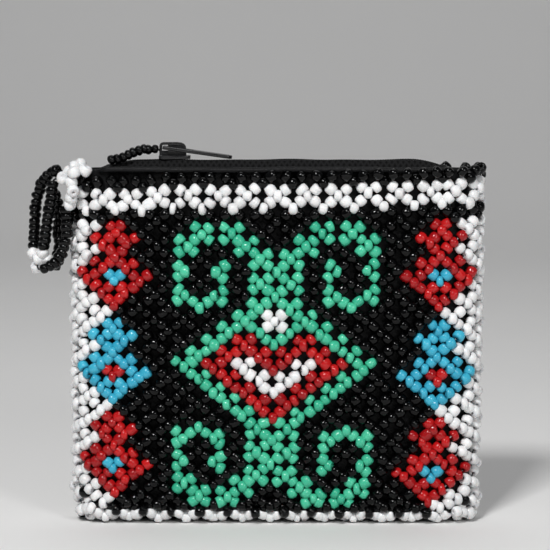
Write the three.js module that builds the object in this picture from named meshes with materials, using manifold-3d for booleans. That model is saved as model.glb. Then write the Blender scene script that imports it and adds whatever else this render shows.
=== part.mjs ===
// A small coin purse: a leatherette zip pouch inside a tubular sleeve of netted seed beads,
// with a nylon zip along the top and a bead loop at the top left corner.
// Millimetres, +Z up, front towards -Y, origin under the middle of the bottom.
import * as THREE from "three";
import { mergeVertices } from "three/addons/utils/BufferGeometryUtils.js";
import Module from "manifold-3d";

const wasm = await Module();
wasm.setup();

// Beads and net
const beadDiameter = 3.0;
const halfMesh = 3.86; // half a mesh round the sleeve: one slanting bead
const sideColumn = 14; // half meshes from the middle of the front to the side edge
const bottomRow = 18; // the row that closes the bottom; row 0 runs through the small white flower
const rimRow = -12; // the row where the net ends under the lip
const rimHeight = 88.0; // height of that row
const halfDepth = 6.8; // bead centres in front of the middle plane
const bulge = 1.5; // how far the middle of the front and back swells further out
const foldRadius = 2.2; // where the front turns under the bottom
const cornerFold = 1.2; // the same at the two ends
const closingHalf = 1.3; // the two closing rows, each side of the middle plane
const gather = 0.085; // share by which the rows draw together at the bottom
const gatherRow = -4; // the row below which they start to
const fieldGap = 0.3; // between two fields of colour
const netInside = 1.4; // from bead centres to the inside of the net
const holeDepth = 0.5; // the net between beads, below the bead centres

// Pouch
const pouchClear = 0.45; // between the net and the pouch
const pouchWall = 1.0;
const pouchLift = 0.6; // the pouch ends a little above the closing row
const pouchTop = rimHeight + 0.6;
const lipHeight = 1.4;
const lipHalfLength = 43.5;
const lipOverhang = 0.3; // lip in front of the bead centres
const lipGap = 0.3; // lip above the net

// Zip
const zipHalfLength = 42.6;
const zipFlatHalf = 33.5; // the straight middle of the zip
const zipDrop = 1.9; // how far the ends dip into the pouch
const tapeTop = rimHeight + 2.7;
const tapeThickness = 0.6;
const tapeFlat = 2.6; // half width of the level middle of the tapes
const tapeEdgeHeight = rimHeight + 0.9; // top of the tape where it is sewn to the pouch
const tapeTuck = 3.0; // how far the tapes run on past the coil, down into the pouch
const zipSlot = 0.55; // half the slit between the two tapes
const coilWidth = 1.9;
const coilHeight = 1.7;
const coilPitch = 1.3;
const seatGap = 0.3;

// Slider and pull tab
const sliderAt = -25.2; // middle of the slider when the purse is shut
const sliderLength = 7.8;
const sliderWidth = 6.4;
const sliderPlate = 0.8;
const sliderNeck = 0.5;
const crownWidth = 1.6;
const crownLength = 6.7;
const crownHeight = 3.3;
const crownWall = 0.65;
const crownMiddle = -0.45; // from the middle of the slider
const tabLength = 17.4;
const tabWidth = 4.8;
const tabThickness = 0.85;
const tabBar = 1.0;
const tabRail = 1.0;
const tabPlay = 0.2; // between the tab's bar and the crown
const tabTilt = 8.2; // degrees below level at rest, with the tab's end just over the tapes

// Bead loop and lead
const strandDiameter = 2.5;
const leadDiameter = 2.3;
const strandSides = 8;
const clusterBead = 3.3; // beads of the two white clusters, across the corners

const quarterGirth = halfMesh * sideColumn;
const flatHalf = quarterGirth - (Math.PI / 2) * halfDepth;
const beadRadius = beadDiameter / 2;
const foldTop = beadRadius + foldRadius;
const wholeRun = rimHeight - foldTop + (Math.PI / 2) * foldRadius + halfDepth - foldRadius - closingHalf;
const rowRun = wholeRun / (bottomRow - rimRow); // along the net from one row to the next
const rimTrim = 0.1; // share of a row that the net ends below its top row
const lipBase = rimHeight - rimTrim * rowRun - fieldGap / 2 + lipGap;

const colours = {
  black: [0x0b0b0d, 0.25],
  white: [0xe9e7e2, 0.35],
  green: [0x3fbf8f, 0.3],
  red: [0xb31521, 0.2],
  blue: [0x3aa9cf, 0.3],
  leatherette: [0x1c1c1e, 0.6],
  tape: [0x141415, 0.85],
  nylon: [0x101012, 0.5],
  metal: [0x2b2c2f, 0.35],
};

const part = new THREE.Group();

function addMesh(name, geometry, colour, metalness = 0) {
  const [hex, roughness] = colours[colour];
  geometry.computeVertexNormals();
  const material = new THREE.MeshStandardMaterial({ color: hex, roughness, metalness });
  const mesh = new THREE.Mesh(geometry, material);
  mesh.name = name;
  part.add(mesh);
  return mesh;
}

// The section of the purse at one height: a flat front that swells a little and round ends.
// along is the distance round the front from the middle, inset a distance towards the inside.
function sectionAt(along, height, inset, sideInset = inset) {
  const side = Math.sign(along);
  const u = Math.abs(along);
  const rise = THREE.MathUtils.clamp((height - foldTop) / (rimHeight - foldTop), 0, 1);
  if (u < flatHalf) {
    const swell = bulge * Math.cos(((Math.PI / 2) * u) / flatHalf) ** 2 * Math.sin(Math.PI * rise);
    return { x: side * u, y: -(halfDepth - inset + swell), turn: 0 };
  }
  const turn = (u - flatHalf) / halfDepth;
  const x = flatHalf + (halfDepth - sideInset) * Math.sin(turn);
  return { x: side * x, y: -(halfDepth - inset) * Math.cos(turn), turn: side * turn };
}

// A point of the sleeve: column in half meshes from the middle of the front (past the side edge
// it runs round the back), row counted downwards, lift outwards from the bead centres.
function sleevePoint(column, row, lift) {
  const onBack = column > sideColumn;
  const c = onBack ? 2 * sideColumn - column : column;
  const down = Math.max(0, (row - gatherRow) / (bottomRow - gatherRow));
  const hold = 1 - (Math.abs(c) / sideColumn) ** 4;
  const along = c * halfMesh * (1 - gather * down ** 2.5 * hold);
  const turn = Math.max(0, (Math.abs(along) - flatHalf) / halfDepth);
  const flatRun = (halfDepth - foldRadius - closingHalf) * Math.cos(turn);
  const foldRun = (Math.PI / 2) * foldRadius;
  const whole = rimHeight - foldTop + foldRun + flatRun;
  const left = ((bottomRow - row) / (bottomRow - rimRow)) * whole; // run still to go to the closing row
  let angle = 0;
  let height = left - flatRun - foldRun + foldTop;
  if (height < foldTop) {
    angle = Math.min(Math.PI / 2, (foldRun + flatRun - left) / foldRadius);
    height = beadRadius + foldRadius * (1 - Math.sin(angle));
  }
  const inward = 1 - Math.cos(angle);
  const at = sectionAt(along, height, foldRadius * inward, cornerFold * inward);
  const run = left < flatRun ? flatRun - left : 0;
  const y = at.y + run;
  const level = Math.cos(angle);
  const nx = Math.sin(at.turn) * level;
  const ny = -Math.cos(at.turn) * level;
  const point = new THREE.Vector3(at.x + nx * lift, y + ny * lift, height - Math.sin(angle) * lift);
  if (onBack) point.y = -point.y;
  return point;
}

// Cells of the net, one for each slanting bead, are named by their lower column and row.
const cellName = (column, row) => `${column},${row}`;
const wrap = (column) => {
  const round = 4 * sideColumn;
  return ((((column + sideColumn) % round) + round) % round) - sideColumn;
};

// One field of colour as a closed shell: ridges of beads along the thread, with a hollow in each mesh.
function fieldGeometry(cells, topTrim = 0, bottomTrim = 0) {
  const has = (column, row) => cells.has(cellName(wrap(column), row));
  const points = [];
  const index = new Map();
  const faces = [];
  const acrossTrim = fieldGap / 2 / halfMesh;
  const downTrim = fieldGap / 2 / rowRun;
  const corner = (column, row, dx, dy, outer) => {
    // the four cells round this corner, seen from the cell that asks
    const beside = has(column - dx, row);
    const above = has(column, row - dy);
    const across = has(column - dx, row - dy);
    const vertexColumn = column + (dx > 0 ? 0 : 1);
    const vertexRow = row + (dy > 0 ? 0 : 1);
    let shiftX = 0;
    let shiftY = 0;
    let split = "";
    if (!beside && !above) {
      shiftX = dx;
      shiftY = dy;
      if (across) split = `${dx},${dy}`;
    } else if (!beside) {
      shiftX = dx;
      if (across) shiftY = -dy;
    } else if (!above) {
      shiftY = dy;
      if (across) shiftX = -dx;
    } else if (!across) {
      shiftX = dx;
      shiftY = dy;
    }
    const key = [wrap(vertexColumn), vertexRow, split, outer].join();
    if (index.has(key)) return index.get(key);
    const onBead = (vertexColumn + vertexRow) % 2 === 0;
    const lift = outer ? (onBead ? beadRadius : -holeDepth) : -netInside;
    let placedRow = vertexRow + shiftY * downTrim;
    if (vertexRow === rimRow) placedRow += topTrim;
    if (vertexRow === bottomRow) placedRow -= bottomTrim;
    const point = sleevePoint(wrap(vertexColumn + shiftX * acrossTrim), placedRow, lift);
    points.push(point.x, point.y, point.z);
    index.set(key, points.length / 3 - 1);
    return points.length / 3 - 1;
  };
  const quad = (a, b, c, d) => faces.push(a, b, c, a, c, d);
  for (const name of cells) {
    const [column, row] = name.split(",").map(Number);
    const ring = (outer) => [
      corner(column, row, 1, 1, outer),
      corner(column, row, 1, -1, outer),
      corner(column, row, -1, -1, outer),
      corner(column, row, -1, 1, outer),
    ];
    const out = ring(true);
    const inn = ring(false);
    // the fold runs along the thread, from bead to bead
    if ((column + row) % 2 === 0) quad(out[0], out[1], out[2], out[3]);
    else quad(out[1], out[2], out[3], out[0]);
    quad(inn[3], inn[2], inn[1], inn[0]);
    if (!has(column - 1, row)) quad(out[1], out[0], inn[0], inn[1]);
    if (!has(column + 1, row)) quad(out[3], out[2], inn[2], inn[3]);
    if (!has(column, row - 1)) quad(out[0], out[3], inn[3], inn[0]);
    if (!has(column, row + 1)) quad(out[2], out[1], inn[1], inn[2]);
  }
  const geometry = new THREE.BufferGeometry();
  geometry.setAttribute("position", new THREE.Float32BufferAttribute(points, 3));
  geometry.setIndex(faces);
  return geometry;
}

// The pattern. a and b are the middle of a cell: a from the middle of the front, b downwards.
const bandTop = [-11, -10]; // the white zigzag under the rim, two rows of beads
const ringRow = -9; // the black row below it
const bandBottom = [16, 17]; // the white zigzag that turns under the bottom
const medallionRows = [-3, 5, 13]; // middle rows of the three medallions
const medallionColumn = sideColumn - 3;
const figureMiddle = 3.5; // middle row of the figure's diamond
const hookMiddle = 4; // the hooks above this row mirror those below it
const borderOnBack = 2; // half meshes of white border round the side edge

const diamond = (a, b, size) => Math.abs(a) + Math.abs(b) <= size;
const within = (v, low, high) => v >= low && v <= high;

function medallionAt(a, b) {
  const p = a - medallionColumn;
  for (const [order, row] of medallionRows.entries()) {
    const d = b - row;
    if (within(p, -1, 1) && d === -0.5) return { kind: "medallion_eye", order };
    if (diamond(p, d + 0.5, 2.5) || diamond(p, d + 3.5, 1.5)) return { kind: "medallion", order };
  }
  return null;
}

// The strokes of one hook: columns from, to, then rows from, to, counted from the hooks' middle.
const hookStrokes = [
  [3, 7, 5, 6],
  [6, 7, 5, 11],
  [3, 4, 5, 9],
  [1, 7, 10, 11],
  [2, 6, 11, 12],
  [2, 3, 9, 10],
  [5, 6, 9, 10],
  [0, 2, 4, 10], // the stem between the two hooks
];

function fieldOf(column, row) {
  const b = row + 0.5;
  if (row < bandTop[0]) return "net_rim";
  if (row <= bandTop[1]) return "net_band_upper";
  if (row >= bandBottom[0]) return "net_band_lower";
  const onBack = column >= sideColumn;
  const a = Math.abs(column + 0.5);
  const round = row === ringRow ? "ring" : "border";
  if (onBack) {
    const fromSide = Math.min(column + 0.5 - sideColumn, 3 * sideColumn - column - 0.5);
    const side = column < 2 * sideColumn ? "right" : "left";
    return fromSide < borderOnBack ? `net_${round}_${side}` : "net_back";
  }
  const side = column < 0 ? "left" : "right";
  const medal = medallionAt(a, b);
  if (medal) return `${medal.kind}_${side}_${medal.order + 1}`;
  if (a > medallionColumn) return `net_${round}_${side}`;
  if (row === ringRow) return "net_front";
  const d = Math.abs(b - figureMiddle);
  if (a < 1 && Math.abs(b) < 1) return "figure_flower";
  const inner = diamond(a, d, 4.5);
  if (inner && b > figureMiddle - 1 && within(a + b - figureMiddle, 1.5, 2.5)) return "figure_smile";
  if (inner && b > 2) return "figure_heart";
  if (inner && within(b, 1, 2) && a > 1) return "figure_heart";
  if (diamond(a, d, 6.5)) return "figure_green";
  const fromHooks = Math.abs(b - hookMiddle);
  for (const [fromA, toA, fromRow, toRow] of hookStrokes)
    if (within(a, fromA, toA) && within(fromHooks, fromRow, toRow)) return "figure_green";
  return "net_front";
}

const fieldColour = (name) => {
  if (name.startsWith("net_band") || name.startsWith("net_border")) return "white";
  if (name.startsWith("net")) return "black";
  if (name === "figure_green") return "green";
  if (name === "figure_heart") return "red";
  if (name.startsWith("figure")) return "white";
  const second = name.endsWith("2");
  return name.startsWith("medallion_eye") === second ? "red" : "blue";
};

// Fields are gathered, then split where they only touch at a corner.
const fields = new Map();
for (let column = -sideColumn; column < 3 * sideColumn; column++)
  for (let row = rimRow; row < bottomRow; row++) {
    const name = fieldOf(column, row);
    if (!fields.has(name)) fields.set(name, new Set());
    fields.get(name).add(cellName(column, row));
  }

function connectedPieces(cells) {
  const rest = new Set(cells);
  const pieces = [];
  while (rest.size) {
    const piece = new Set();
    const open = [rest.values().next().value];
    while (open.length) {
      const name = open.pop();
      if (!rest.delete(name)) continue;
      piece.add(name);
      const [column, row] = name.split(",").map(Number);
      for (const [dc, dr] of [[1, 0], [-1, 0], [0, 1], [0, -1]])
        open.push(cellName(wrap(column + dc), row + dr));
    }
    pieces.push(piece);
  }
  return pieces.sort((one, two) => two.size - one.size);
}

const closingTrim = 0.3; // share of a row kept free for the closing beads
for (const [name, cells] of fields)
  connectedPieces(cells).forEach((piece, order) => {
    const label = order === 0 ? name : `${name}_inlay_${order}`;
    addMesh(label, fieldGeometry(piece, rimTrim, closingTrim), fieldColour(name));
  });

// The closing row: a strip of beads that joins front and back under the bottom.
const closingReach = flatHalf - 1;
const closingWidth = 2 * (closingHalf + closingTrim * rowRun - fieldGap);
const closingHeight = beadRadius + netInside;
const closing = new THREE.BoxGeometry(2 * closingReach, closingWidth, closingHeight, 2 * sideColumn, 1, 1);
closing.translate(0, 0, closingHeight / 2);
addMesh("net_closing_row", closing, "black");

// Solids for joining and cutting
function solidOf(geometry) {
  const bare = geometry.clone();
  bare.deleteAttribute("normal");
  bare.deleteAttribute("uv");
  const merged = mergeVertices(bare, 1e-4);
  return new wasm.Manifold(
    new wasm.Mesh({
      numProp: 3,
      vertProperties: new Float32Array(merged.attributes.position.array),
      triVerts: new Uint32Array(merged.index.array),
    }),
  );
}

function geometryOf(solid) {
  const mesh = solid.getMesh();
  const geometry = new THREE.BufferGeometry();
  geometry.setAttribute("position", new THREE.Float32BufferAttribute(mesh.vertProperties, 3));
  geometry.setIndex(Array.from(mesh.triVerts));
  return geometry;
}

const joined = (geometries) => {
  const [first, ...others] = geometries.map(solidOf);
  return others.reduce((sum, next) => sum.add(next), first);
};

// The outline of the purse at an inset from the bead centres, as a closed shape.
function outlineShape(inset, flatSteps = 8, turnSteps = 5) {
  const quarter = [];
  for (let k = 0; k < flatSteps / 2; k++) quarter.push((flatHalf * k) / (flatSteps / 2));
  for (let k = 0; k <= turnSteps; k++) quarter.push(flatHalf + ((quarterGirth - flatHalf) * k) / turnSteps);
  const half = [...quarter.slice(1).reverse().map((u) => -u), ...quarter];
  const front = half.map((u) => sectionAt(u, 0, inset));
  const shape = new THREE.Shape();
  front.forEach((p, k) => (k ? shape.lineTo(p.x, p.y) : shape.moveTo(p.x, p.y)));
  front.slice(1, -1).reverse().forEach((p) => shape.lineTo(p.x, -p.y));
  return shape;
}

// A straight column of that outline, then swelled like the net.
function pouchColumn(inset, from, to, steps) {
  const depth = to - from;
  const geometry = new THREE.ExtrudeGeometry(outlineShape(inset), { depth, steps, bevelEnabled: false });
  geometry.translate(0, 0, from);
  const p = geometry.attributes.position;
  for (let k = 0; k < p.count; k++) {
    const x = Math.abs(p.getX(k));
    if (x >= flatHalf) continue;
    const swell = Math.abs(sectionAt(x, p.getZ(k), inset).y) - Math.abs(sectionAt(x, 0, inset).y);
    p.setY(k, p.getY(k) + Math.sign(p.getY(k)) * swell);
  }
  return geometry;
}

// The leatherette pouch: a bag with a folded lip along the front and the back of its mouth.
const pouchInset = netInside + pouchClear;
const pouchFloor = beadRadius + pouchInset + pouchLift;
const mouthHalf = halfDepth - pouchInset - pouchWall;
const lipDepth = halfDepth + lipOverhang - mouthHalf;
function lipGeometry(side) {
  const section = new THREE.Shape();
  const round = 0.5;
  section.moveTo(0, 0);
  section.lineTo(lipDepth - round, 0);
  section.quadraticCurveTo(lipDepth, 0, lipDepth, round);
  section.lineTo(lipDepth, lipHeight - round);
  section.quadraticCurveTo(lipDepth, lipHeight, lipDepth - round, lipHeight);
  section.lineTo(0, lipHeight);
  section.closePath();
  const bar = new THREE.ExtrudeGeometry(section, {
    depth: 2 * lipHalfLength, steps: 1, bevelEnabled: false, curveSegments: 3,
  });
  bar.rotateX(Math.PI / 2);
  bar.rotateZ(Math.PI / 2);
  bar.translate(0, 0, lipBase);
  if (side < 0) bar.rotateZ(Math.PI);
  bar.computeBoundingBox();
  const middle = bar.boundingBox.getCenter(new THREE.Vector3());
  bar.translate(-middle.x, side * (mouthHalf + lipDepth / 2) - middle.y, 0);
  return bar;
}
const pouchOuter = solidOf(pouchColumn(pouchInset, pouchFloor, pouchTop, 4));
const pouchSolid = pouchOuter
  .add(solidOf(lipGeometry(-1)))
  .add(solidOf(lipGeometry(1)))
  .subtract(solidOf(pouchColumn(pouchInset + pouchWall, pouchFloor + pouchWall, lipBase + 2 * lipHeight, 4)));
addMesh("leatherette_pouch", geometryOf(pouchSolid), "leatherette");

// The zip dips at both ends.
function zipDip(x) {
  const past = Math.max(0, Math.abs(x) - zipFlatHalf) / (zipHalfLength - zipFlatHalf);
  return -zipDrop * past * past;
}
function followZip(geometry) {
  const p = geometry.attributes.position;
  for (let k = 0; k < p.count; k++) p.setZ(k, p.getZ(k) + zipDip(p.getX(k)));
  return geometry;
}

// One tape: level beside the slit, then sloping down to where it is sewn inside the lip. Past the
// coil it narrows with the mouth's round end.
function tapeGeometry(side) {
  const outer = mouthHalf - seatGap;
  const slope = (tapeEdgeHeight - tapeTop) / (outer - tapeFlat);
  const narrowest = 0.4; // of the sloping edge
  const reach = zipHalfLength + tapeTuck;
  const geometry = new THREE.BoxGeometry(2 * reach, 1, tapeThickness, 24, 2, 1);
  const p = geometry.attributes.position;
  for (let k = 0; k < p.count; k++) {
    const past = Math.max(0, Math.abs(p.getX(k)) - flatHalf);
    const edge = Math.sqrt(mouthHalf ** 2 - past ** 2) - seatGap;
    const crease = Math.min(tapeFlat, edge - narrowest);
    const step = Math.round((p.getY(k) + 0.5) * 2);
    p.setY(k, side * [zipSlot, crease, edge][step]);
    p.setZ(k, p.getZ(k) + tapeTop - tapeThickness / 2 + (step === 2 ? slope * (edge - crease) : 0));
  }
  if (side < 0) flip(geometry);
  return followZip(geometry);
}
function flip(geometry) {
  const index = geometry.index.array;
  for (let k = 0; k < index.length; k += 3) [index[k], index[k + 1]] = [index[k + 1], index[k]];
}
addMesh("zip_tape_front", tapeGeometry(-1), "tape");
addMesh("zip_tape_rear", tapeGeometry(1), "tape");

// The nylon coil under each tape, with one rib for each turn.
const coilTop = tapeTop - tapeThickness - seatGap;
function coilGeometry(side) {
  const turns = Math.floor(zipHalfLength / coilPitch - 0.5) * 2;
  const half = (turns * coilPitch) / 2;
  const ribDepth = coilPitch * 0.35;
  const outline = new THREE.Shape();
  outline.moveTo(-half, 0);
  for (let k = 0; k < turns; k++) {
    const x = -half + k * coilPitch;
    outline.lineTo(x + coilPitch / 2, -ribDepth);
    outline.lineTo(x + coilPitch, 0);
  }
  for (let k = turns; k >= 0; k -= 2) outline.lineTo(-half + k * coilPitch, coilHeight - ribDepth);
  outline.closePath();
  const geometry = new THREE.ExtrudeGeometry(outline, { depth: coilWidth, steps: 1, bevelEnabled: false });
  geometry.rotateX(Math.PI / 2);
  geometry.translate(0, 0, coilTop - (coilHeight - ribDepth));
  geometry.translate(0, side > 0 ? zipSlot + coilWidth : -zipSlot, 0);
  return followZip(geometry);
}
addMesh("zip_coil_front", coilGeometry(-1), "nylon");
addMesh("zip_coil_rear", coilGeometry(1), "nylon");

// The slider: a plate above the tapes and one under the coil, joined by a neck in the slit,
// with an arched crown that holds the pull tab.
const upperPlate = tapeTop + seatGap;
const lowerPlate = coilTop - coilHeight - seatGap - sliderPlate;
function sliderOutline(grow) {
  const shape = new THREE.Shape();
  const half = sliderLength / 2;
  const wide = sliderWidth / 2 - grow;
  const narrow = wide * 0.72;
  shape.moveTo(-half + 1.2, -wide);
  shape.lineTo(half - 1.4, -narrow);
  shape.quadraticCurveTo(half, -narrow, half, -narrow + 1.2);
  shape.lineTo(half, narrow - 1.2);
  shape.quadraticCurveTo(half, narrow, half - 1.4, narrow);
  shape.lineTo(-half + 1.2, wide);
  shape.quadraticCurveTo(-half, wide, -half, wide - 1.4);
  shape.lineTo(-half, -wide + 1.4);
  shape.quadraticCurveTo(-half, -wide, -half + 1.2, -wide);
  return shape;
}
function plateAt(base, grow) {
  const plate = new THREE.ExtrudeGeometry(sliderOutline(grow), {
    depth: sliderPlate, steps: 1, bevelEnabled: false, curveSegments: 4,
  });
  plate.translate(0, 0, base);
  return plate;
}
function crownGeometry() {
  const half = crownLength / 2;
  const shape = new THREE.Shape();
  const slope = 1.1;
  const foot = -0.1; // the crown's feet reach into the plate
  shape.moveTo(-half, foot);
  shape.lineTo(-half, crownHeight - slope);
  shape.quadraticCurveTo(-half, crownHeight, -half + slope, crownHeight);
  shape.lineTo(half - 2 * slope, crownHeight);
  shape.quadraticCurveTo(half, crownHeight, half, crownHeight - 1.6 * slope);
  shape.lineTo(half, foot);
  shape.lineTo(half - crownWall, foot);
  shape.lineTo(half - crownWall, crownHeight - 1.8 * slope);
  const under = crownHeight - crownWall;
  shape.quadraticCurveTo(half - crownWall, under, half - 2 * slope, under);
  shape.lineTo(-half + slope, under);
  shape.quadraticCurveTo(-half + crownWall, under, -half + crownWall, crownHeight - slope);
  shape.lineTo(-half + crownWall, foot);
  shape.closePath();
  const crown = new THREE.ExtrudeGeometry(shape, {
    depth: crownWidth, steps: 1, bevelEnabled: false, curveSegments: 4,
  });
  crown.rotateX(Math.PI / 2);
  crown.translate(crownMiddle, crownWidth / 2, upperPlate + sliderPlate);
  return crown;
}
const neckHeight = upperPlate - lowerPlate;
const neck = new THREE.BoxGeometry(2.6, sliderNeck, neckHeight);
neck.translate(-sliderLength / 2 + 1.9, 0, lowerPlate + neckHeight / 2);
const sliderSolid = joined([plateAt(upperPlate, 0), plateAt(lowerPlate, 0.5), neck, crownGeometry()]);
const slider = addMesh("slider_body", geometryOf(sliderSolid), "metal", 0.6);
slider.position.set(sliderAt, 0, 0);

// The pull tab: a flat plate with a window that the crown stands in.
const pivotX = crownMiddle - crownLength / 2 + crownWall + tabPlay + tabBar / 2; // from the slider's middle
const pivotZ = upperPlate + sliderPlate + crownHeight - crownWall - tabPlay - tabBar / 2;
function tabGeometry() {
  const outline = new THREE.Shape();
  const half = tabWidth / 2;
  const start = -tabBar / 2;
  const end = start + tabLength;
  const corner = 1.6;
  outline.moveTo(start + 0.5, -half);
  outline.lineTo(end - corner, -half * 0.86);
  outline.quadraticCurveTo(end, -half * 0.86, end, 0);
  outline.quadraticCurveTo(end, half * 0.86, end - corner, half * 0.86);
  outline.lineTo(start + 0.5, half);
  outline.quadraticCurveTo(start, half, start, half - 0.5);
  outline.lineTo(start, -half + 0.5);
  outline.quadraticCurveTo(start, -half, start + 0.5, -half);
  const windowEnd = tabBar / 2 + crownLength;
  const hole = new THREE.Path();
  hole.moveTo(tabBar / 2, -half + tabRail);
  hole.lineTo(tabBar / 2, half - tabRail);
  hole.lineTo(windowEnd, half - tabRail);
  hole.lineTo(windowEnd, -half + tabRail);
  hole.closePath();
  outline.holes.push(hole);
  const tab = new THREE.ExtrudeGeometry(outline, {
    depth: tabThickness, steps: 1, bevelEnabled: false, curveSegments: 5,
  });
  tab.translate(0, 0, -tabThickness / 2);
  return tab;
}
const tab = addMesh("pull_tab", tabGeometry(), "metal", 0.4);
tab.position.set(sliderAt + pivotX, 0, pivotZ);
tab.rotation.y = THREE.MathUtils.degToRad(tabTilt);

// Strands of small beads, each a plain tube along its route.
function strandGeometry(points, diameter, steps) {
  const route = new THREE.CatmullRomCurve3(points.map((p) => new THREE.Vector3(...p)), false, "centripetal");
  const section = new THREE.Shape();
  for (let k = 0; k < strandSides; k++) {
    const turn = (2 * Math.PI * k) / strandSides;
    const x = (diameter / 2) * Math.cos(turn);
    const y = (diameter / 2) * Math.sin(turn);
    if (k) section.lineTo(x, y);
    else section.moveTo(x, y);
  }
  return new THREE.ExtrudeGeometry(section, { steps, extrudePath: route, bevelEnabled: false });
}
const leadRoute = [
  [-29.5, -0.5, 92.3], [-32.2, -1.6, 92.5], [-35.2, -3.0, 92.2], [-38.2, -4.1, 91.2], [-41.2, -4.6, 90.6],
];
const loopOuter = [
  [-54.9, -2.2, 88.3], [-57.4, -0.8, 86.0], [-59.1, 0.2, 82.8], [-60.1, 0.5, 78.6], [-60.4, 0.3, 74.4],
  [-60.4, -0.5, 69.9],
];
const loopMiddle = [
  [-55.2, -3.6, 85.6], [-55.8, -4.2, 81.0], [-56.4, -4.4, 77.0], [-57.0, -4.2, 73.4], [-57.6, -3.8, 69.9],
];
const loopInner = [
  [-52.8, -4.7, 79.5], [-52.8, -4.6, 76.0], [-53.0, -4.6, 71.5], [-53.6, -4.8, 67.8], [-55.1, -5.4, 65.5],
  [-57.2, -5.5, 64.1],
];
const loopRear = [
  [-54.2, -1.4, 82.4], [-54.0, -0.2, 78.5], [-53.8, 0.4, 73.5], [-53.7, 0.2, 68.5], [-54.2, -0.6, 65.2],
  [-55.0, -1.2, 63.4],
];
addMesh("lead_strand", strandGeometry(leadRoute, leadDiameter, 8), "black");
addMesh("loop_strand_outer", strandGeometry(loopOuter, strandDiameter, 10), "black");
addMesh("loop_strand_middle", strandGeometry(loopMiddle, strandDiameter, 7), "black");
addMesh("loop_strand_inner", strandGeometry(loopInner, strandDiameter, 9), "black");
addMesh("loop_strand_rear", strandGeometry(loopRear, strandDiameter, 9), "black");

// Clusters of white beads where the strands meet.
function clusterGeometry(places) {
  return geometryOf(joined(places.map(([x, y, z]) => {
    const bead = new THREE.SphereGeometry(clusterBead / 2, 6, 4);
    bead.translate(x, y, z);
    return bead;
  })));
}
const cornerCluster = [
  [-47.6, -4.6, 89.9], [-48.9, -3.2, 91.2], [-50.3, -4.4, 90.8], [-50.2, -6.2, 89.6], [-51.6, -3.6, 89.6],
  [-53.2, -4.4, 88.0], [-52.2, -6.2, 87.0], [-51.8, -6.9, 85.0], [-52.4, -6.1, 83.2], [-52.8, -5.2, 81.5],
];
const footCluster = [
  [-60.6, -1.2, 67.6], [-58.0, -3.4, 67.8], [-59.1, -2.6, 66.2], [-56.9, -2.6, 65.8], [-59.6, -1.7, 64.0],
];
addMesh("loop_cluster_corner", clusterGeometry(cornerCluster), "white");
addMesh("loop_cluster_foot", clusterGeometry(footCluster), "white");

export default part;
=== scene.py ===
import math

import bmesh
import bpy
import numpy as np
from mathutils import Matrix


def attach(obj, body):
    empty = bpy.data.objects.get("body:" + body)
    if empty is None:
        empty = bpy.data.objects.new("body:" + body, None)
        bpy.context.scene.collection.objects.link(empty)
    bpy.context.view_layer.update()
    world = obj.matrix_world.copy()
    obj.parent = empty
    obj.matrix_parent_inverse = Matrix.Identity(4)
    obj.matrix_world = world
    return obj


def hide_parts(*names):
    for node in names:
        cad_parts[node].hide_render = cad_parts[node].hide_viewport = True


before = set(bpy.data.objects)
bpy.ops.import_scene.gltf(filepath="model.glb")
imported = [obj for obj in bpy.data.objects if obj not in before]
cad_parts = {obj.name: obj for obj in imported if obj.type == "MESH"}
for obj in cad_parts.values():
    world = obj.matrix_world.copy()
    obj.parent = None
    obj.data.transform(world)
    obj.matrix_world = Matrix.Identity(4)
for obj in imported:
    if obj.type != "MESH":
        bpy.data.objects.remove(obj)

for leftover in ("Cube", "Light", "Camera"):  # what an empty Blender file starts with
    if leftover in bpy.data.objects:
        bpy.data.objects.remove(bpy.data.objects[leftover], do_unlink=True)
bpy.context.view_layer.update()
mm = 0.001
rng = np.random.default_rng(41)

# camera: straight at the front, a little from above
cameraSet = {
    "elevation": 6.0,  # degrees above level
    "width": 0.1357,  # what the frame spans at the front of the net
    "distance": 0.55,
    "lookAt": (-0.00025, -0.0080, 0.0627),
    "sensor": 36.0,
    "nearest": 0.01,
}


def placeCamera(choice):
    # the lens is the sensor's width times the distance over the width that the frame spans
    lens = bpy.data.cameras.new("camera")
    lens.sensor_width = choice["sensor"]
    lens.lens = choice["sensor"] * choice["distance"] / choice["width"]
    lens.clip_start = choice["nearest"]
    camera = bpy.data.objects.new("camera", lens)
    bpy.context.collection.objects.link(camera)
    tilt = math.radians(choice["elevation"])
    x, y, z = choice["lookAt"]
    away = choice["distance"]
    camera.location = (x, y - away * math.cos(tilt), z + away * math.sin(tilt))
    camera.rotation_euler = (math.pi / 2 - tilt, 0.0, 0.0)
    bpy.context.scene.camera = camera


placeCamera(cameraSet)
print("camera placed")


# meshes from whole arrays

def meshObject(name, points, faces, smooth=True, values=None):
    # faces hold the numbers of their points; values maps an attribute's name to one number for each point
    mesh = bpy.data.meshes.new(name)
    mesh.from_pydata(points.reshape(-1, 3), [], faces if isinstance(faces, list) else faces.tolist())
    mesh.polygons.foreach_set("use_smooth", np.full(len(mesh.polygons), smooth))
    for label, numbers in (values or {}).items():
        layer = mesh.attributes.new(label, "FLOAT", "POINT")
        layer.data.foreach_set("value", np.asarray(numbers, dtype=np.float32))
    mesh.update()
    made = bpy.data.objects.new(name, mesh)
    bpy.context.collection.objects.link(made)
    return made


def gridFaces(rows, columns, closeRows=False, closeColumns=False):
    # quads between neighbours of a grid of points that is stored row by row
    r = np.arange(rows if closeRows else rows - 1)
    c = np.arange(columns if closeColumns else columns - 1)
    r, c = np.meshgrid(r, c, indexing="ij")
    here = r * columns + c
    right = r * columns + (c + 1) % columns
    below = (r + 1) % rows * columns + c
    across = (r + 1) % rows * columns + (c + 1) % columns
    return np.stack([here, right, across, below], axis=-1).reshape(-1, 4)


def repeatedFaces(faces, count, pointsEach):
    # the faces of one small mesh for each of many copies, their point numbers raised from copy to copy
    return (faces[None] + pointsEach * np.arange(count)[:, None, None]).reshape(-1, 4)


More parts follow.
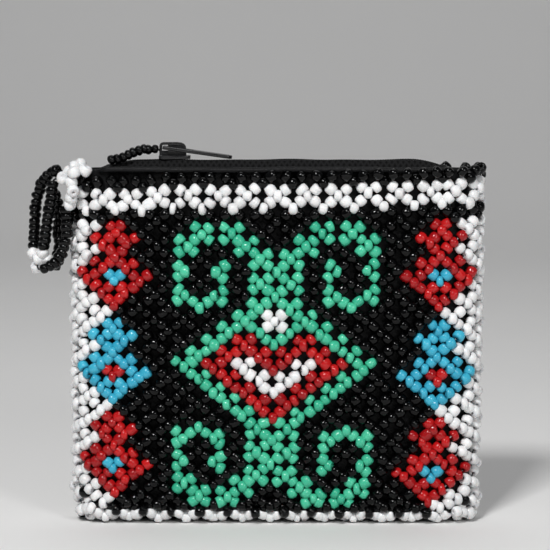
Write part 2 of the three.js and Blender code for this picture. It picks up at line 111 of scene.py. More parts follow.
def unit(v):
    # each vector over its own length
    return v / np.maximum(np.linalg.norm(v, axis=-1, keepdims=True), 1e-12)


def squareTo(axis, hint):
    # two directions at right angles to each axis, the first as near to the hint as it can be; the hint is any
    # direction that no axis has
    first = unit(hint - axis * np.sum(axis * hint, axis=-1, keepdims=True))
    return first, np.cross(axis, first)


def smoothStep(x, low, high):
    # 0 up to low, 1 from high on, and three t squared less two t cubed between them
    t = np.clip((x - low) / (high - low), 0.0, 1.0)
    return t * t * (3.0 - 2.0 * t)


def ringRound(u, v, angle):
    # directions round a section: u times the cosine and v times the sine, for each of many sections
    return u[:, None, :] * np.cos(angle)[None, :, None] + v[:, None, :] * np.sin(angle)[None, :, None]


# one glass bead: a short rounded tube
beadForm = {
    # radius in shares of the bead's radius, height in shares of its length, from rim to rim of the hole
    "profile": [(0.24, -0.42), (0.62, -0.50), (0.90, -0.37), (1.0, -0.14),
                (1.0, 0.14), (0.90, 0.37), (0.62, 0.50), (0.24, 0.42)],
    "sides": 10,
    "shoulder": 0.3,  # the profile's points past this height are its shoulders
    "oval": 0.035,  # how far the section may be oval
    "wander": 0.045,  # how far a shoulder may stand in or out
    "slant": 0.10,  # how far an end slants
    "anyWay": 6.28,  # radians: ovals and slants may point anywhere
}


def beadField(name, centre, axis, hint, radius, length, seed):
    # each bead is the profile turned round its own axis: centre + axis * height + ring * radius,
    # with an oval section, a slanting end and a wandering shoulder so that no two are alike
    local = np.random.default_rng(seed)
    form = beadForm
    n = len(centre)
    each = (n, 1, 1)
    profile = np.array(form["profile"])
    sides = form["sides"]
    u, v = squareTo(axis, hint)
    angle = 2 * np.pi * np.arange(sides) / sides
    around = angle[None, None, :] + local.uniform(0, 2 * np.pi, each)
    ovalSize = local.normal(0, form["oval"], each)
    oval = 1 + ovalSize * np.cos(2 * around - local.uniform(0, form["anyWay"], each))
    shoulder = np.where(np.abs(profile[:, 1]) > form["shoulder"], 1.0, 0.0)[None, :, None]
    wander = 1 + shoulder * local.normal(0, form["wander"], (n, len(profile), 1))
    slant = 1 + form["slant"] * shoulder * np.cos(around - local.uniform(0, form["anyWay"], each))
    ring = profile[:, 0][None, :, None] * oval * wander * radius[:, None, None]
    height = profile[:, 1][None, :, None] * slant * length[:, None, None]
    points = (centre[:, None, None, :] + axis[:, None, None, :] * height[..., None]
              + u[:, None, None, :] * (ring * np.cos(around))[..., None]
              + v[:, None, None, :] * (ring * np.sin(around))[..., None])
    perBead = len(profile) * sides
    faces = repeatedFaces(gridFaces(len(profile), sides, closeRows=True, closeColumns=True), n, perBead)
    tone = np.repeat(local.uniform(0, 1, n), perBead)
    # how near each point is to its bead's end, which the glass paints darker as shade
    end = np.tile(np.repeat(np.abs(profile[:, 1]) * 2, sides), n)
    return meshObject(name, points, faces, values={"beadTone": tone, "beadEnd": end})


# the sleeve of the net: where column and row lie in space
sleeve = {
    "halfMesh": 3.86 * mm,
    "sideColumn": 14,
    "bottomRow": 18,
    "rimRow": -12,
    "rimHeight": 88.0 * mm,
    "halfDepth": 6.8 * mm,
    "bulge": 1.5 * mm,
    "beadRadius": 1.5 * mm,
    "foldRadius": 2.2 * mm,
    "cornerFold": 1.2 * mm,
    "closingHalf": 1.3 * mm,
    "gather": 0.085,  # the share by which the bottom is drawn in
    "gatherRow": -4,  # and the row from which it is
    "gatherCurve": 2.5,
    "evenColumns": 10,  # past this column the front's meshes are drawn together
    "roundToFront": 3.6 * mm,  # by so much, and the back's meshes are wider for it
    "closingRow": 19,
    # in the fold the rows crowd together, so they sit higher than in an even net, by these shares of a row
    "tuckedRows": (14.5, 15, 15.5, 16, 16.5, 17, 17.5, 18, 18.5, 19),
    "tucks": (0.0, 0.05, 0.2, 0.40, 0.71, 1.03, 1.19, 1.44, 1.36, 1.0),
}
# how the worn net has settled, in mm: shifts grow with x across the front and with the height
settled = {
    "span": 43.0 * mm,
    # terms: 1, across, up, across * up, across squared, up squared
    "sideways": (-1.64, -0.83, 2.01, -0.81, 0.45, 0.27),
    "upwards": (0.80, -1.58, -4.33, 2.21, 0.70, 3.99),
    "restsBelow": 9 * mm,  # the upward shift fades out below this height
    "rightEdge": (-0.1, 0.9),  # at the right side edge: at the bottom, and what it gains to the top
    "edge": (42.5 * mm, 50.0 * mm),  # between these distances from the middle the edge's own shift takes over
    # the left top corner sags: by how much, and between which distances to the left and heights it sets in
    "cornerSag": 1.2 * mm,
    "cornerLeft": (24 * mm, 40 * mm),
    "cornerHeights": (76.5 * mm, 80.5 * mm),
}
halfRound = sleeve["halfMesh"] * sleeve["sideColumn"]
flatHalf = halfRound - math.pi / 2 * sleeve["halfDepth"]
foldTop = sleeve["beadRadius"] + sleeve["foldRadius"]


def sectionAt(along, height, inset, sideInset):
    # a flat front that swells as cosine squared, and round ends; along runs round the front from its middle
    side = np.sign(along)
    u = np.abs(along)
    rise = np.clip((height - foldTop) / (sleeve["rimHeight"] - foldTop), 0, 1)
    across = np.cos(math.pi / 2 * np.minimum(u, flatHalf) / flatHalf)
    swell = sleeve["bulge"] * across ** 2 * np.sin(math.pi * rise)
    turn = np.maximum(0, (u - flatHalf) / sleeve["halfDepth"])
    x = np.minimum(u, flatHalf) + (sleeve["halfDepth"] - sideInset) * np.sin(turn)
    y = -(sleeve["halfDepth"] - inset + swell) * np.cos(turn)
    return side * x, y, side * turn


def runRound(column):
    # distance round the sleeve from the middle of the front: even meshes up to evenColumns, narrower ones to
    # the side column, then the back's wider ones; given as the distance from the nearer middle, and whether
    # that is the back's
    s = sleeve
    column = (column + s["sideColumn"]) % (4 * s["sideColumn"]) - s["sideColumn"]
    onBack = column > s["sideColumn"]
    folded = np.where(onBack, 2 * s["sideColumn"] - column, column)
    c = np.abs(folded)
    atSide = halfRound - s["roundToFront"]
    even = s["evenColumns"] * s["halfMesh"]
    narrow = (atSide - even) / (s["sideColumn"] - s["evenColumns"])
    front = np.minimum(c, s["evenColumns"]) * s["halfMesh"] + np.maximum(0, c - s["evenColumns"]) * narrow
    back = atSide + (s["sideColumn"] - c) * (2 * halfRound - atSide) / s["sideColumn"]
    run = np.where(onBack, back, front)
    behind = run > halfRound
    return np.sign(folded) * np.where(behind, 2 * halfRound - run, run), behind


def sleevePoint(column, row, lift):
    # columns are half meshes round the sleeve, rows run down, lift is outwards from the bead centres. The
    # rows share out the run from the rim to the fold, round its quarter circle and in along the underside
    s = sleeve
    along, behind = runRound(column)
    down = np.maximum(0, (row - s["gatherRow"]) / (s["bottomRow"] - s["gatherRow"]))
    hold = 1 - (np.abs(along) / halfRound) ** 4
    along = along * (1 - s["gather"] * down ** s["gatherCurve"] * hold)
    row = row - np.interp(row, s["tuckedRows"], s["tucks"])
    turn = np.maximum(0, (np.abs(along) - flatHalf) / s["halfDepth"])
    flatRun = (s["halfDepth"] - s["foldRadius"] - s["closingHalf"]) * np.cos(turn)
    foldRun = math.pi / 2 * s["foldRadius"]
    whole = s["rimHeight"] - foldTop + foldRun + flatRun
    left = (s["bottomRow"] - row) / (s["bottomRow"] - s["rimRow"]) * whole
    height = left - flatRun - foldRun + foldTop
    folding = height < foldTop
    angle = np.where(folding, np.minimum(math.pi / 2, (foldRun + flatRun - left) / s["foldRadius"]), 0)
    height = np.where(folding, s["beadRadius"] + s["foldRadius"] * (1 - np.sin(angle)), height)
    inward = 1 - np.cos(angle)
    x, y, turned = sectionAt(along, height, s["foldRadius"] * inward, s["cornerFold"] * inward)
    y = y + np.maximum(0, flatRun - left)
    out = np.cos(angle) * lift
    point = np.stack([x + np.sin(turned) * out, y - np.cos(turned) * out, height - np.sin(angle) * lift],
                     axis=-1)
    point[..., 1] = np.where(behind, -point[..., 1], point[..., 1])
    return settle(point)


def settle(point):
    # both shifts are sums of the terms above; the sideways one fades out to the side edges, and the upward
    # one fades out where the net rests on the table. Then the left top corner's sag is taken off
    k = settled
    fromMiddle, height = point[..., 0], point[..., 2]
    across = fromMiddle / k["span"]
    up = height / sleeve["rimHeight"]
    terms = np.stack([np.ones_like(up), across, up, across * up, across ** 2, up ** 2], axis=-1)
    atEdge = smoothStep(np.abs(fromMiddle), *k["edge"])
    edgeShift = np.where(across > 0, k["rightEdge"][0] + k["rightEdge"][1] * up, 0.0)
    x = fromMiddle + mm * (terms @ np.array(k["sideways"]) * (1 - atEdge) + edgeShift * atEdge)
    z = height + mm * (terms @ np.array(k["upwards"])) * smoothStep(height, 0.0, k["restsBelow"])
    sag = smoothStep(-fromMiddle, *k["cornerLeft"]) * smoothStep(height, *k["cornerHeights"])
    return np.stack([x, point[..., 1], z - k["cornerSag"] * sag], axis=-1)


# the pattern, worked out for every bead from its column and row
black, white, green, red, blue = range(5)
pattern = {
    # crossings lie at whole columns and rows, links at half ones
    "figureMiddle": 3.5,
    "figureSize": 6.5,
    "hookMiddle": 4,
    # one hook of the figure: columns from, to, rows from, to, counted from the hooks' middle
    "hook": [(3, 7, 5, 6), (6, 7, 5, 11), (3, 4, 5, 9), (1, 7, 10, 11), (2, 6, 11, 12), (2, 3, 9, 10),
             (5, 6, 9, 10), (0, 2, 4, 10)],
    # crossings of the rhomb, column plus row from its middle, and two more at its top
    "rhombCrossings": 6,
    "rhombRows": (0, 8),
    "rhombTop": [(1, 1), (0, 2)],
    # crossings of the lower hook, which the upper hook mirrors
    "hookCrossings": [(1, 9), (0, 10), (1, 11), (0, 12), (1, 13), (2, 14), (3, 15), (5, 15), (6, 14), (6, 12),
                      (6, 10), (5, 9), (4, 10), (4, 12)],
    "heartSize": 4.5,
    "heartNotch": (1, 2, 1),  # from row, to row: the heart parts in two there, this far from the middle
    "heartCrossings": [(2, 2), (1, 3), (3, 3), (0, 4), (4, 4), (3, 5), (2, 6), (1, 7), (0, 8)],
    "smile": (1.5, 2.5),
    "smileFrom": 2.5,  # its links lie below this row
    "smileCrossings": [(2, 4), (1, 5), (0, 6)],
    "flowerSize": 1,
    "flowerCrossings": [(0, 0)],
    "medallionColumn": 11,
    "medallionRows": (-3, 5, 13),
    "blueMedallion": 5,
    # rows of a medallion's crossings, from its middle, by their columns from its middle
    "medallionCrossings": {0: (-4, -2, 2), 1: (-3, -1, 1), 2: (0,)},
    # its links: two rhombs, how far above its middle and how large, and the row of its eye's links
    "medallionRhombs": ((0.5, 2.5), (3.5, 1.5)),
    "eyeLinks": -0.5,
    # the white borders: crossings and links have their own first and last rows
    "borderColumn": 12,
    "borderOnBack": 2,
    "borderCrossings": (-7, 15),
    "borderLinks": (-8, 15.5),
    "borderGap": (13.5, 15.5),
    # the zigzag bands and the black lines beside them
    "whiteCrossings": (-10, -9, 18),
    "blackCrossings": (-11, -8, 19),
    "whiteLinks": (-10.5, -9.5),
    "blackLinks": (-11.5, -8.5),
    # in the bottom fold: the only white columns of a row
    "foldCrossings": {16: (12, 14), 17: (13,)},
    "foldFrom": 16,
    "foldLinks": (16.5, 13.5),
    # the rows past which beads belong to the bands' pieces
    "bandsPast": (-7.75, 15.75),
}


def among(i, j, places):
    # true where a crossing, left or right, is in a short list of places
    found = np.zeros(np.shape(i), dtype=bool)
    for column, row in places:
        found |= (np.abs(i) == column) & (j == row)
    return found


def roundTheSide(column):
    # whether a column is on the back, how far past the side it is there, and how far from its face's middle
    side = sleeve["sideColumn"]
    onBack = column > side
    fromSide = np.minimum(column - side, 3 * side - column)
    return onBack, fromSide, np.where(onBack, np.abs(2 * side - column), np.abs(column))


def crossingColours(i, j):
    # beads where two threads cross, at whole columns and rows; what comes later colours over what came before
    p = pattern
    onBack, fromSide, fold = roundTheSide(i)
    a = np.abs(i)
    ring = np.zeros(i.shape, dtype=int)
    for row in p["medallionRows"]:
        outer, inner = (blue, red) if row == p["blueMedallion"] else (red, blue)
        column, down = np.abs(a - p["medallionColumn"]), j - row
        for step, rows in p["medallionCrossings"].items():
            ring = np.where((column == step) & np.isin(down, rows), outer, ring)
        ring = np.where((column == 0) & (down == 0), inner, ring)
    firstRow, lastRow = p["rhombRows"]
    rhomb = (a + np.abs(j - p["hookMiddle"]) == p["rhombCrossings"]) & (j >= firstRow) & (j <= lastRow)
    hooks = among(i, j, p["hookCrossings"]) | among(i, 2 * p["hookMiddle"] - j, p["hookCrossings"])
    tone = np.where(rhomb | among(i, j, p["rhombTop"]) | hooks, green, black)
    tone = np.where(among(i, j, p["heartCrossings"]), red, tone)
    tone = np.where(among(i, j, p["smileCrossings"] + p["flowerCrossings"]), white, tone)
    inBorder = (j >= p["borderCrossings"][0]) & (j <= p["borderCrossings"][1])
    tone = np.where((a >= p["borderColumn"]) & inBorder, white, tone)
    tone = np.where(ring > 0, ring, tone)
    tone = np.where(onBack, np.where((fromSide < p["borderOnBack"]) & inBorder, white, black), tone)
    tone = np.where(np.isin(j, p["whiteCrossings"]), white, tone)
    tone = np.where(np.isin(j, p["blackCrossings"]), black, tone)
    for row, columns in p["foldCrossings"].items():
        tone = np.where(j == row, np.where(np.isin(fold, columns), white, black), tone)
    return tone


def linkColours(a, b):
    # beads that slant between two crossings, at half columns and rows; later ones colour over earlier ones
    p = pattern
    onBack, fromSide, fold = roundTheSide(a)
    c = np.abs(a)
    fromMiddle = c + np.abs(b - p["figureMiddle"])
    tone = np.where(fromMiddle <= p["figureSize"], green, black)
    h = np.abs(b - p["hookMiddle"])
    for fromColumn, toColumn, fromRow, toRow in p["hook"]:
        tone = np.where((c >= fromColumn) & (c <= toColumn) & (h >= fromRow) & (h <= toRow), green, tone)
    heart = fromMiddle <= p["heartSize"]
    notchTop, notchEnd, notchHalf = p["heartNotch"]
    bumps = (b >= notchTop) & (b <= notchEnd) & (c > notchHalf)
    tone = np.where(heart & ((b > notchEnd) | bumps), red, tone)
    smile = c + b - p["figureMiddle"]
    smiling = heart & (b > p["smileFrom"]) & (smile >= p["smile"][0]) & (smile <= p["smile"][1])
    flower = (c < p["flowerSize"]) & (np.abs(b) < p["flowerSize"])
    tone = np.where(smiling | flower, white, tone)
    inBorder = (b >= p["borderLinks"][0]) & (b <= p["borderLinks"][1])
    gap = (c == p["borderGap"][0]) & (b == p["borderGap"][1])
    tone = np.where((c > p["medallionColumn"]) & inBorder & ~gap, white, tone)
    for row in p["medallionRows"]:
        outer, inner = (blue, red) if row == p["blueMedallion"] else (red, blue)
        column, down = np.abs(c - p["medallionColumn"]), b - row
        for above, size in p["medallionRhombs"]:
            tone = np.where(column + np.abs(down + above) <= size, outer, tone)
        tone = np.where((column <= 1) & (down == p["eyeLinks"]), inner, tone)
    tone = np.where(onBack, np.where((fromSide < p["borderOnBack"]) & inBorder, white, black), tone)
    tone = np.where(np.isin(b, p["whiteLinks"]), white, tone)
    tone = np.where(np.isin(b, p["blackLinks"]), black, tone)
    foldRow, foldColumn = p["foldLinks"]
    last = np.where((b == foldRow) & (fold != foldColumn), black, white)
    return np.where(b > p["foldFrom"], last, tone)


# the netted beads
netLook = {
    "radius": 1.45 * mm,
    "radiusLimits": (1.2 * mm, 1.6 * mm),
    "crossingLength": 2.15 * mm,
    "linkLength": 2.4 * mm,
    "sizeSpread": 0.055,
    "lengthSpread": 0.09,
    "tiltSpread": 0.13,  # radians
    "shift": (0.13 * mm, 0.078 * mm, 0.13 * mm),  # along x, y and z
    "crossingLift": 0.22 * mm,
    "linkLift": -0.12 * mm,
    # where the rows crowd, one row stands out and the one above it sinks in
    "proudRow": 17,
    "proudLift": 0.45 * mm,
    "sunkRow": 16.5,
    "sunkLift": -0.7 * mm,
    # beads that rise past the lip lie in front of it, except at the side edges
    "lipHeights": (86.6 * mm, 88.0 * mm),
    "lipHalf": 46 * mm,
    "lipForward": 1.4 * mm,
    "offTable": 0.15 * mm,
    "threadLift": 0.1 * mm,
    "threadHalf": 0.16 * mm,
}


def netLinks(firstRow):
    # half columns and rows of the links, and which way each one's thread slants
    s = sleeve
    columns = np.arange(-s["sideColumn"], 3 * s["sideColumn"])
    a, b = np.meshgrid(columns + 0.5, np.arange(firstRow, s["closingRow"]) + 0.5, indexing="ij")
    a, b = a.ravel(), b.ravel()
    return a, b, np.where((np.floor(a) + np.floor(b)) % 2 == 0, 1.0, -1.0)


def netCrossings():
    # whole columns and rows of even sum
    s = sleeve
    columns = np.arange(-s["sideColumn"], 3 * s["sideColumn"])
    i, j = np.meshgrid(columns, np.arange(s["rimRow"] + 1, s["closingRow"] + 1), indexing="ij")
    keep = (i + j) % 2 == 0
    return i[keep].astype(float), j[keep].astype(float)


def netBeads():
    # crossings lie level along their row, links along their slanting thread; then chance gives tilts,
    # shifts and sizes
    look = netLook
    i, j = netCrossings()
    a, b, slope = netLinks(sleeve["rimRow"])
    column, row = np.concatenate([i, a]), np.concatenate([j, b])
    linkAxis = unit(sleevePoint(a + 0.5, b + 0.5 * slope, 0.0) - sleevePoint(a - 0.5, b - 0.5 * slope, 0.0))
    crossingAxis = unit(sleevePoint(i + 0.25, j, 0.0) - sleevePoint(i - 0.25, j, 0.0))
    crossing = sleevePoint(i, j, look["crossingLift"] + look["proudLift"] * (j == look["proudRow"]))
    link = sleevePoint(a, b, look["linkLift"] + look["sunkLift"] * (b == look["sunkRow"]))
    out = unit(sleevePoint(column, row, 1 * mm) - sleevePoint(column, row, 0.0))
    centre = np.concatenate([crossing, link])
    n = len(centre)
    axis = unit(np.concatenate([crossingAxis, linkAxis]) + rng.normal(0, look["tiltSpread"], (n, 3)))
    centre = centre + rng.normal(0, 1, (n, 3)) * np.array(look["shift"])
    past = smoothStep(centre[:, 2], *look["lipHeights"]) * (np.abs(centre[:, 0]) < look["lipHalf"])
    centre[:, 1] += np.sign(centre[:, 1]) * past * look["lipForward"]
    radius = look["radius"] * (1 + rng.normal(0, look["sizeSpread"], n))
    length = np.concatenate([np.full(len(i), look["crossingLength"]), np.full(len(a), look["linkLength"])])
    length = length * (1 + rng.normal(0, look["lengthSpread"], n))
    radius = np.clip(radius, *look["radiusLimits"])
    centre[:, 2] = np.maximum(centre[:, 2], radius + look["offTable"])
    tone = np.concatenate([crossingColours(i, j), linkColours(a, b)])
    return centre, axis, out, radius, length, tone, column, row


beadCentre, beadAxis, beadOut, beadRadius, beadLength, beadColour, beadColumn, beadRow = netBeads()
print("net worked out:", len(beadCentre), "beads")


def netThread():
    # one short square stick of thread for each link, from crossing to crossing
    a, b, slope = netLinks(sleeve["rimRow"] + 1)
    start = sleevePoint(a - 0.5, b - 0.5 * slope, netLook["threadLift"])
    end = sleevePoint(a + 0.5, b + 0.5 * slope, netLook["threadLift"])
    out = unit(sleevePoint(a, b, 1 * mm) - sleevePoint(a, b, 0.0))
    u, v = squareTo(unit(end - start), out)
    ring = netLook["threadHalf"] * ringRound(u, v, np.pi / 2 * np.arange(4))
    points = np.concatenate([start[:, None, :] + ring, end[:, None, :] + ring], axis=1)
    faces = np.array([[0, 1, 5, 4], [1, 2, 6, 5], [2, 3, 7, 6], [3, 0, 4, 7], [3, 2, 1, 0], [4, 5, 6, 7]])
    return meshObject("net_thread", points, repeatedFaces(faces, len(a), 8), smooth=False)


def beadsWhere(name, chosen, seed):
    # the beads of the net that one piece takes
    return beadField(name, beadCentre[chosen], beadAxis[chosen], beadOut[chosen], beadRadius[chosen],
                     beadLength[chosen], seed)


onBack = beadColumn > sleeve["sideColumn"]
inBand = (beadRow < pattern["bandsPast"][0]) | (beadRow > pattern["bandsPast"][1])
isBlack, isWhite = beadColour == black, beadColour == white
blackFront = beadsWhere("net_black_front", isBlack & ~onBack & ~inBand, 1)
blackBack = beadsWhere("net_black_back", isBlack & onBack & ~inBand, 2)
blackEdges = beadsWhere("net_black_edges", isBlack & inBand, 3)
whiteBands = beadsWhere("net_white_bands", isWhite & inBand, 4)
whiteBorder = beadsWhere("net_white_border", isWhite & ~inBand, 5)
greenBeads = beadsWhere("net_green_figure", beadColour == green, 6)
redBeads = beadsWhere("net_red_motifs", beadColour == red, 7)
blueBeads = beadsWhere("net_blue_motifs", beadColour == blue, 8)
threadNet = netThread()
print("net beads and thread made")

# bead strings: the loop at the corner and the lead on the slider. Routes and shifts are in mm
stringLook = {
    "radius": 1.52 * mm,
    "pitch": 1.6 * mm,
    "leadRadius": 1.22 * mm,
    "leadPitch": 1.4 * mm,
    "snug": 1.12,  # a bead's length for each pitch
    "shift": 0.10 * mm,
    "tilt": 0.10,  # radians
    "sizeSpread": 0.06,
    "clusterRadius": 1.55 * mm,
    "clusterLength": 2.6 * mm,
    "clusterLean": (0.8, 0.2, 0.5),
    "clusterSpread": 0.7,
    # from the solids' places to where the beads crowd over the net's corner
    "cornerShift": (0.6, -2.4, -1.5),
    "cornerCount": 6,
    "chainShift": (1.9, -1.4, -1.5),  # for the beads that run down to the inner string
    "rearShift": -0.6,
    # the inner string's upper end lies nearer to the net, and its lower end less and less so
    "innerShift": (1.0, -0.4),
    "innerShares": (1, 1, 1, 0.7, 0.3, 0),
    "leadRise": (1.1, 1.0, 0.6, 0.2, 0.0),  # how far the lead is heaped up above the solid lead
    "threadThick": 0.5 * mm,
    "threadStep": 1.2 * mm,
    "leadThreadStep": 1.0 * mm,
}
leadRoute = [(-29.5, -0.5, 92.3), (-32.2, -1.6, 92.5), (-35.2, -3.0, 92.2), (-38.2, -4.1, 91.2),
             (-41.2, -4.6, 90.6)]
loopOuter = [(-54.9, -2.2, 88.3), (-57.4, -0.8, 86.0), (-59.1, 0.2, 82.8), (-60.1, 0.5, 78.6),
             (-60.4, 0.3, 74.4), (-60.4, -0.5, 69.9)]
loopMiddle = [(-55.2, -3.6, 85.6), (-55.8, -4.2, 81.0), (-56.4, -4.4, 77.0), (-57.0, -4.2, 73.4),
              (-57.6, -3.8, 69.9)]
loopInner = [(-52.8, -4.7, 79.5), (-52.8, -4.6, 76.0), (-53.0, -4.6, 71.5), (-53.6, -4.8, 67.8),
             (-55.1, -5.4, 65.5), (-57.2, -5.5, 64.1)]
loopRear = [(-54.2, -1.4, 82.4), (-54.0, -0.2, 78.5), (-53.8, 0.4, 73.5), (-53.7, 0.2, 68.5),
            (-54.2, -0.6, 65.2), (-55.0, -1.2, 63.4)]
cornerCluster = [(-47.6, -4.6, 89.9), (-48.9, -3.2, 91.2), (-50.3, -4.4, 90.8), (-50.2, -6.2, 89.6),
                 (-51.6, -3.6, 89.6), (-53.2, -4.4, 88.0), (-52.2, -6.2, 87.0), (-51.8, -6.9, 85.0),
                 (-52.4, -6.1, 83.2), (-52.8, -5.2, 81.5)]
footCluster = [(-60.6, -1.2, 67.6), (-58.0, -3.4, 67.8), (-59.1, -2.6, 66.2), (-56.9, -2.6, 65.8),
               (-59.6, -1.7, 64.0)]


routeSteps = 600  # the fine steps that a route's length is measured in


def alongRoute(route, pitch, spare=0.0):
    # points at equal steps of arc length, and their directions, on a cubic curve through the route: each
    # stretch blends its two ends and their tangents, and its knots are spaced by the square roots of the
    # distances
    p = np.array(route) * mm
    knots = np.concatenate([[0], np.cumsum(np.linalg.norm(np.diff(p, axis=0), axis=1) ** 0.5)])
    fine = np.linspace(0, knots[-1], routeSteps)
    tangents = np.gradient(p, knots, axis=0)
    k = np.clip(np.searchsorted(knots, fine, side="right") - 1, 0, len(p) - 2)
    h = (knots[k + 1] - knots[k])[:, None]
    t = ((fine - knots[k])[:, None]) / h
    curve = ((2 * t ** 3 - 3 * t ** 2 + 1) * p[k] + (t ** 3 - 2 * t ** 2 + t) * h * tangents[k]
             + (-2 * t ** 3 + 3 * t ** 2) * p[k + 1] + (t ** 3 - t ** 2) * h * tangents[k + 1])
    run = np.concatenate([[0], np.cumsum(np.linalg.norm(np.diff(curve, axis=0), axis=1))])
    count = max(2, int(round((run[-1] - 2 * spare) / pitch)) + 1)
    at = np.linspace(spare, run[-1] - spare, count)
    point = np.stack([np.interp(at, run, curve[:, axis]) for axis in range(3)], axis=-1)
    return point, unit(np.gradient(point, axis=0))


def tubeAlong(name, points, directions, thick, sides=8):
    # a round tube: a ring of half the thickness round each point of its path, each end closed to a point
    u, v = squareTo(directions, np.array([0.13, 0.9, 0.35]))
    body = points[:, None, :] + ringRound(u, v, 2 * np.pi * np.arange(sides) / sides) * thick / 2
    start = len(points) * sides
    last = start - sides
    faces = gridFaces(len(points), sides, closeColumns=True).tolist()
    for here in range(sides):
        after = (here + 1) % sides
        faces += [[start, after, here], [start + 1, last + here, last + after]]
    return meshObject(name, np.concatenate([body.reshape(-1, 3), points[:1], points[-1:]]), faces)


def stringBeads(name, routes, radius, pitch, seed):
    # beads threaded close together, each on its route's own direction
    look = stringLook
    local = np.random.default_rng(seed)
    parts = [alongRoute(route, pitch, spare=pitch / 2) for route in routes]
    centre = np.concatenate([p for p, _ in parts])
    axis = np.concatenate([d for _, d in parts])
    n = len(centre)
    centre = centre + local.normal(0, look["shift"], (n, 3))
    axis = unit(axis + local.normal(0, look["tilt"], (n, 3)))
    size = radius * (1 + local.normal(0, look["sizeSpread"], n))
    return beadField(name, centre, axis, np.array([0.1, -1.0, 0.2]), size,
                     np.full(n, pitch * look["snug"]), seed)


def clusterBeads(name, places, seed, shift=0.0):
    # loose beads that crowd round a knot: each leans as the cluster does or the other way, give or take
    look = stringLook
    local = np.random.default_rng(seed)
    centre = (np.array(places) + shift) * mm
    n = len(centre)
    lean = np.array(look["clusterLean"]) * local.choice([-1, 1], (n, 1))
    axis = unit(lean + local.normal(0, look["clusterSpread"], (n, 3)))
    return beadField(name, centre, axis, np.array([0.3, 0.8, -0.5]), np.full(n, look["clusterRadius"]),
                     np.full(n, look["clusterLength"]), seed)


def routeLength(points):
    # the sum of the steps between neighbours
    return float(np.sum(np.linalg.norm(np.diff(points, axis=0), axis=1)))


# the threads start and end inside the clusters, and run on through the strings' first and last beads
outerTop = (-53.9, -3.0, 87.9)
outerFoot, middleFoot, innerFoot = (-60.5, -1.1, 68.7), (-57.9, -3.6, 68.7), (-58.3, -5.3, 63.7)
innerX, innerY = stringLook["innerShift"]
outerString = [outerTop] + loopOuter + [outerFoot]
middleString = loopMiddle + [middleFoot]
innerString = [(x + innerX * share, y + innerY * share, z)
               for (x, y, z), share in zip(loopInner, stringLook["innerShares"])] + [innerFoot]
rearString = [(x + stringLook["rearShift"], y, z) for x, y, z in loopRear]
leadString = [(x, y, z + rise) for (x, y, z), rise in zip(leadRoute, stringLook["leadRise"])]
loopThreadRoute = ([(-47.4, -6.9, 88.2), (-49.6, -6.4, 89.0)] + outerString
                   + [(-60.2, -1.8, 67.0), (-59.2, -2.8, 66.2), (-58.4, -3.4, 67.2)] + middleString[::-1]
                   + [(-54.2, -4.6, 86.4), (-52.4, -6.0, 86.8)])
dropThreadRoute = ([(-47.6, -6.6, 88.6), (-49.4, -7.6, 88.2), (-50.2, -7.8, 85.5), (-50.0, -8.2, 83.5),
                    (-50.5, -7.4, 81.7), (-51.2, -6.2, 80.3)]
                   + innerString + [(-59.2, -3.8, 64.0), (-59.4, -2.4, 65.0)])
rearThreadRoute = ([(-50.8, -6.2, 88.0), (-52.6, -5.0, 86.6), (-54.4, -2.4, 84.4)]
                   + rearString + [(-57.2, -2.4, 65.2), (-58.8, -2.8, 65.8)])
leadThreadRoute = [(-28.6, -0.2, 92.9)] + leadString

thick, step = stringLook["threadThick"], stringLook["threadStep"]
loopPoints, loopWays = alongRoute(loopThreadRoute, step)
dropPoints, dropWays = alongRoute(dropThreadRoute, step)
rearPoints, rearWays = alongRoute(rearThreadRoute, step)
leadPoints, leadWays = alongRoute(leadThreadRoute, stringLook["leadThreadStep"])
loopThread = tubeAlong("loop_thread", loopPoints, loopWays, thick)
dropThread = tubeAlong("drop_thread", dropPoints, dropWays, thick)
rearThread = tubeAlong("rear_thread", rearPoints, rearWays, thick)
leadThread = tubeAlong("lead_thread", leadPoints, leadWays, thick)

loopSize = (stringLook["radius"], stringLook["pitch"])
loopBeads = stringBeads("loop_beads", [outerString, middleString], *loopSize, 21)
dropBeads = stringBeads("drop_beads", [innerString], *loopSize, 22)
rearBeads = stringBeads("rear_beads", [rearString], *loopSize, 26)
leadBeads = stringBeads("lead_beads", [leadString], stringLook["leadRadius"], stringLook["leadPitch"], 23)
atCorner = np.arange(len(cornerCluster))[:, None] < stringLook["cornerCount"]
cornerBeads = clusterBeads("corner_beads", cornerCluster, 24,
                           np.where(atCorner, stringLook["cornerShift"], stringLook["chainShift"]))
footBeads = clusterBeads("foot_beads", footCluster, 25)
print("strings made: loop", round(routeLength(loopPoints), 4), "drop", round(routeLength(dropPoints), 4),
      "rear", round(routeLength(rearPoints), 4))

# the leatherette pouch with its folded lip
pouchLook = {
    "inset": 1.85 * mm,  # outside of the wall, behind the bead centres
    "wall": 1.0 * mm,
    "floor": 3.95 * mm,
    "sideColumns": (40, 13),  # columns over half the flat front, and round a side
    "wallHeights": (12 * mm, 84 * mm, 10),  # from, to, rings
    "lipOut": 0.3 * mm,
    "lipEnd": 43.5 * mm,
    "lipFade": (1.4 * mm, 0.6 * mm),  # the lip runs out from so far before its end to so far past it
    "waver": 0.08 * mm,
    "waves": ((1.0, 7.3 * mm, 0.0), (0.6, 3.1 * mm, 1.0), (0.4, 1.7 * mm, 0.0)),  # share, length, phase
    "seamShare": 0.985,
}


def weldSeams(made, near=0.02 * mm):
    # points that meet are merged, and the faces are turned outwards
    work = bmesh.new()
    work.from_mesh(made.data)
    bmesh.ops.remove_doubles(work, verts=work.verts, dist=near)
    bmesh.ops.recalc_face_normals(work, faces=work.faces)
    work.to_mesh(made.data)
    work.free()
    made.data.update()


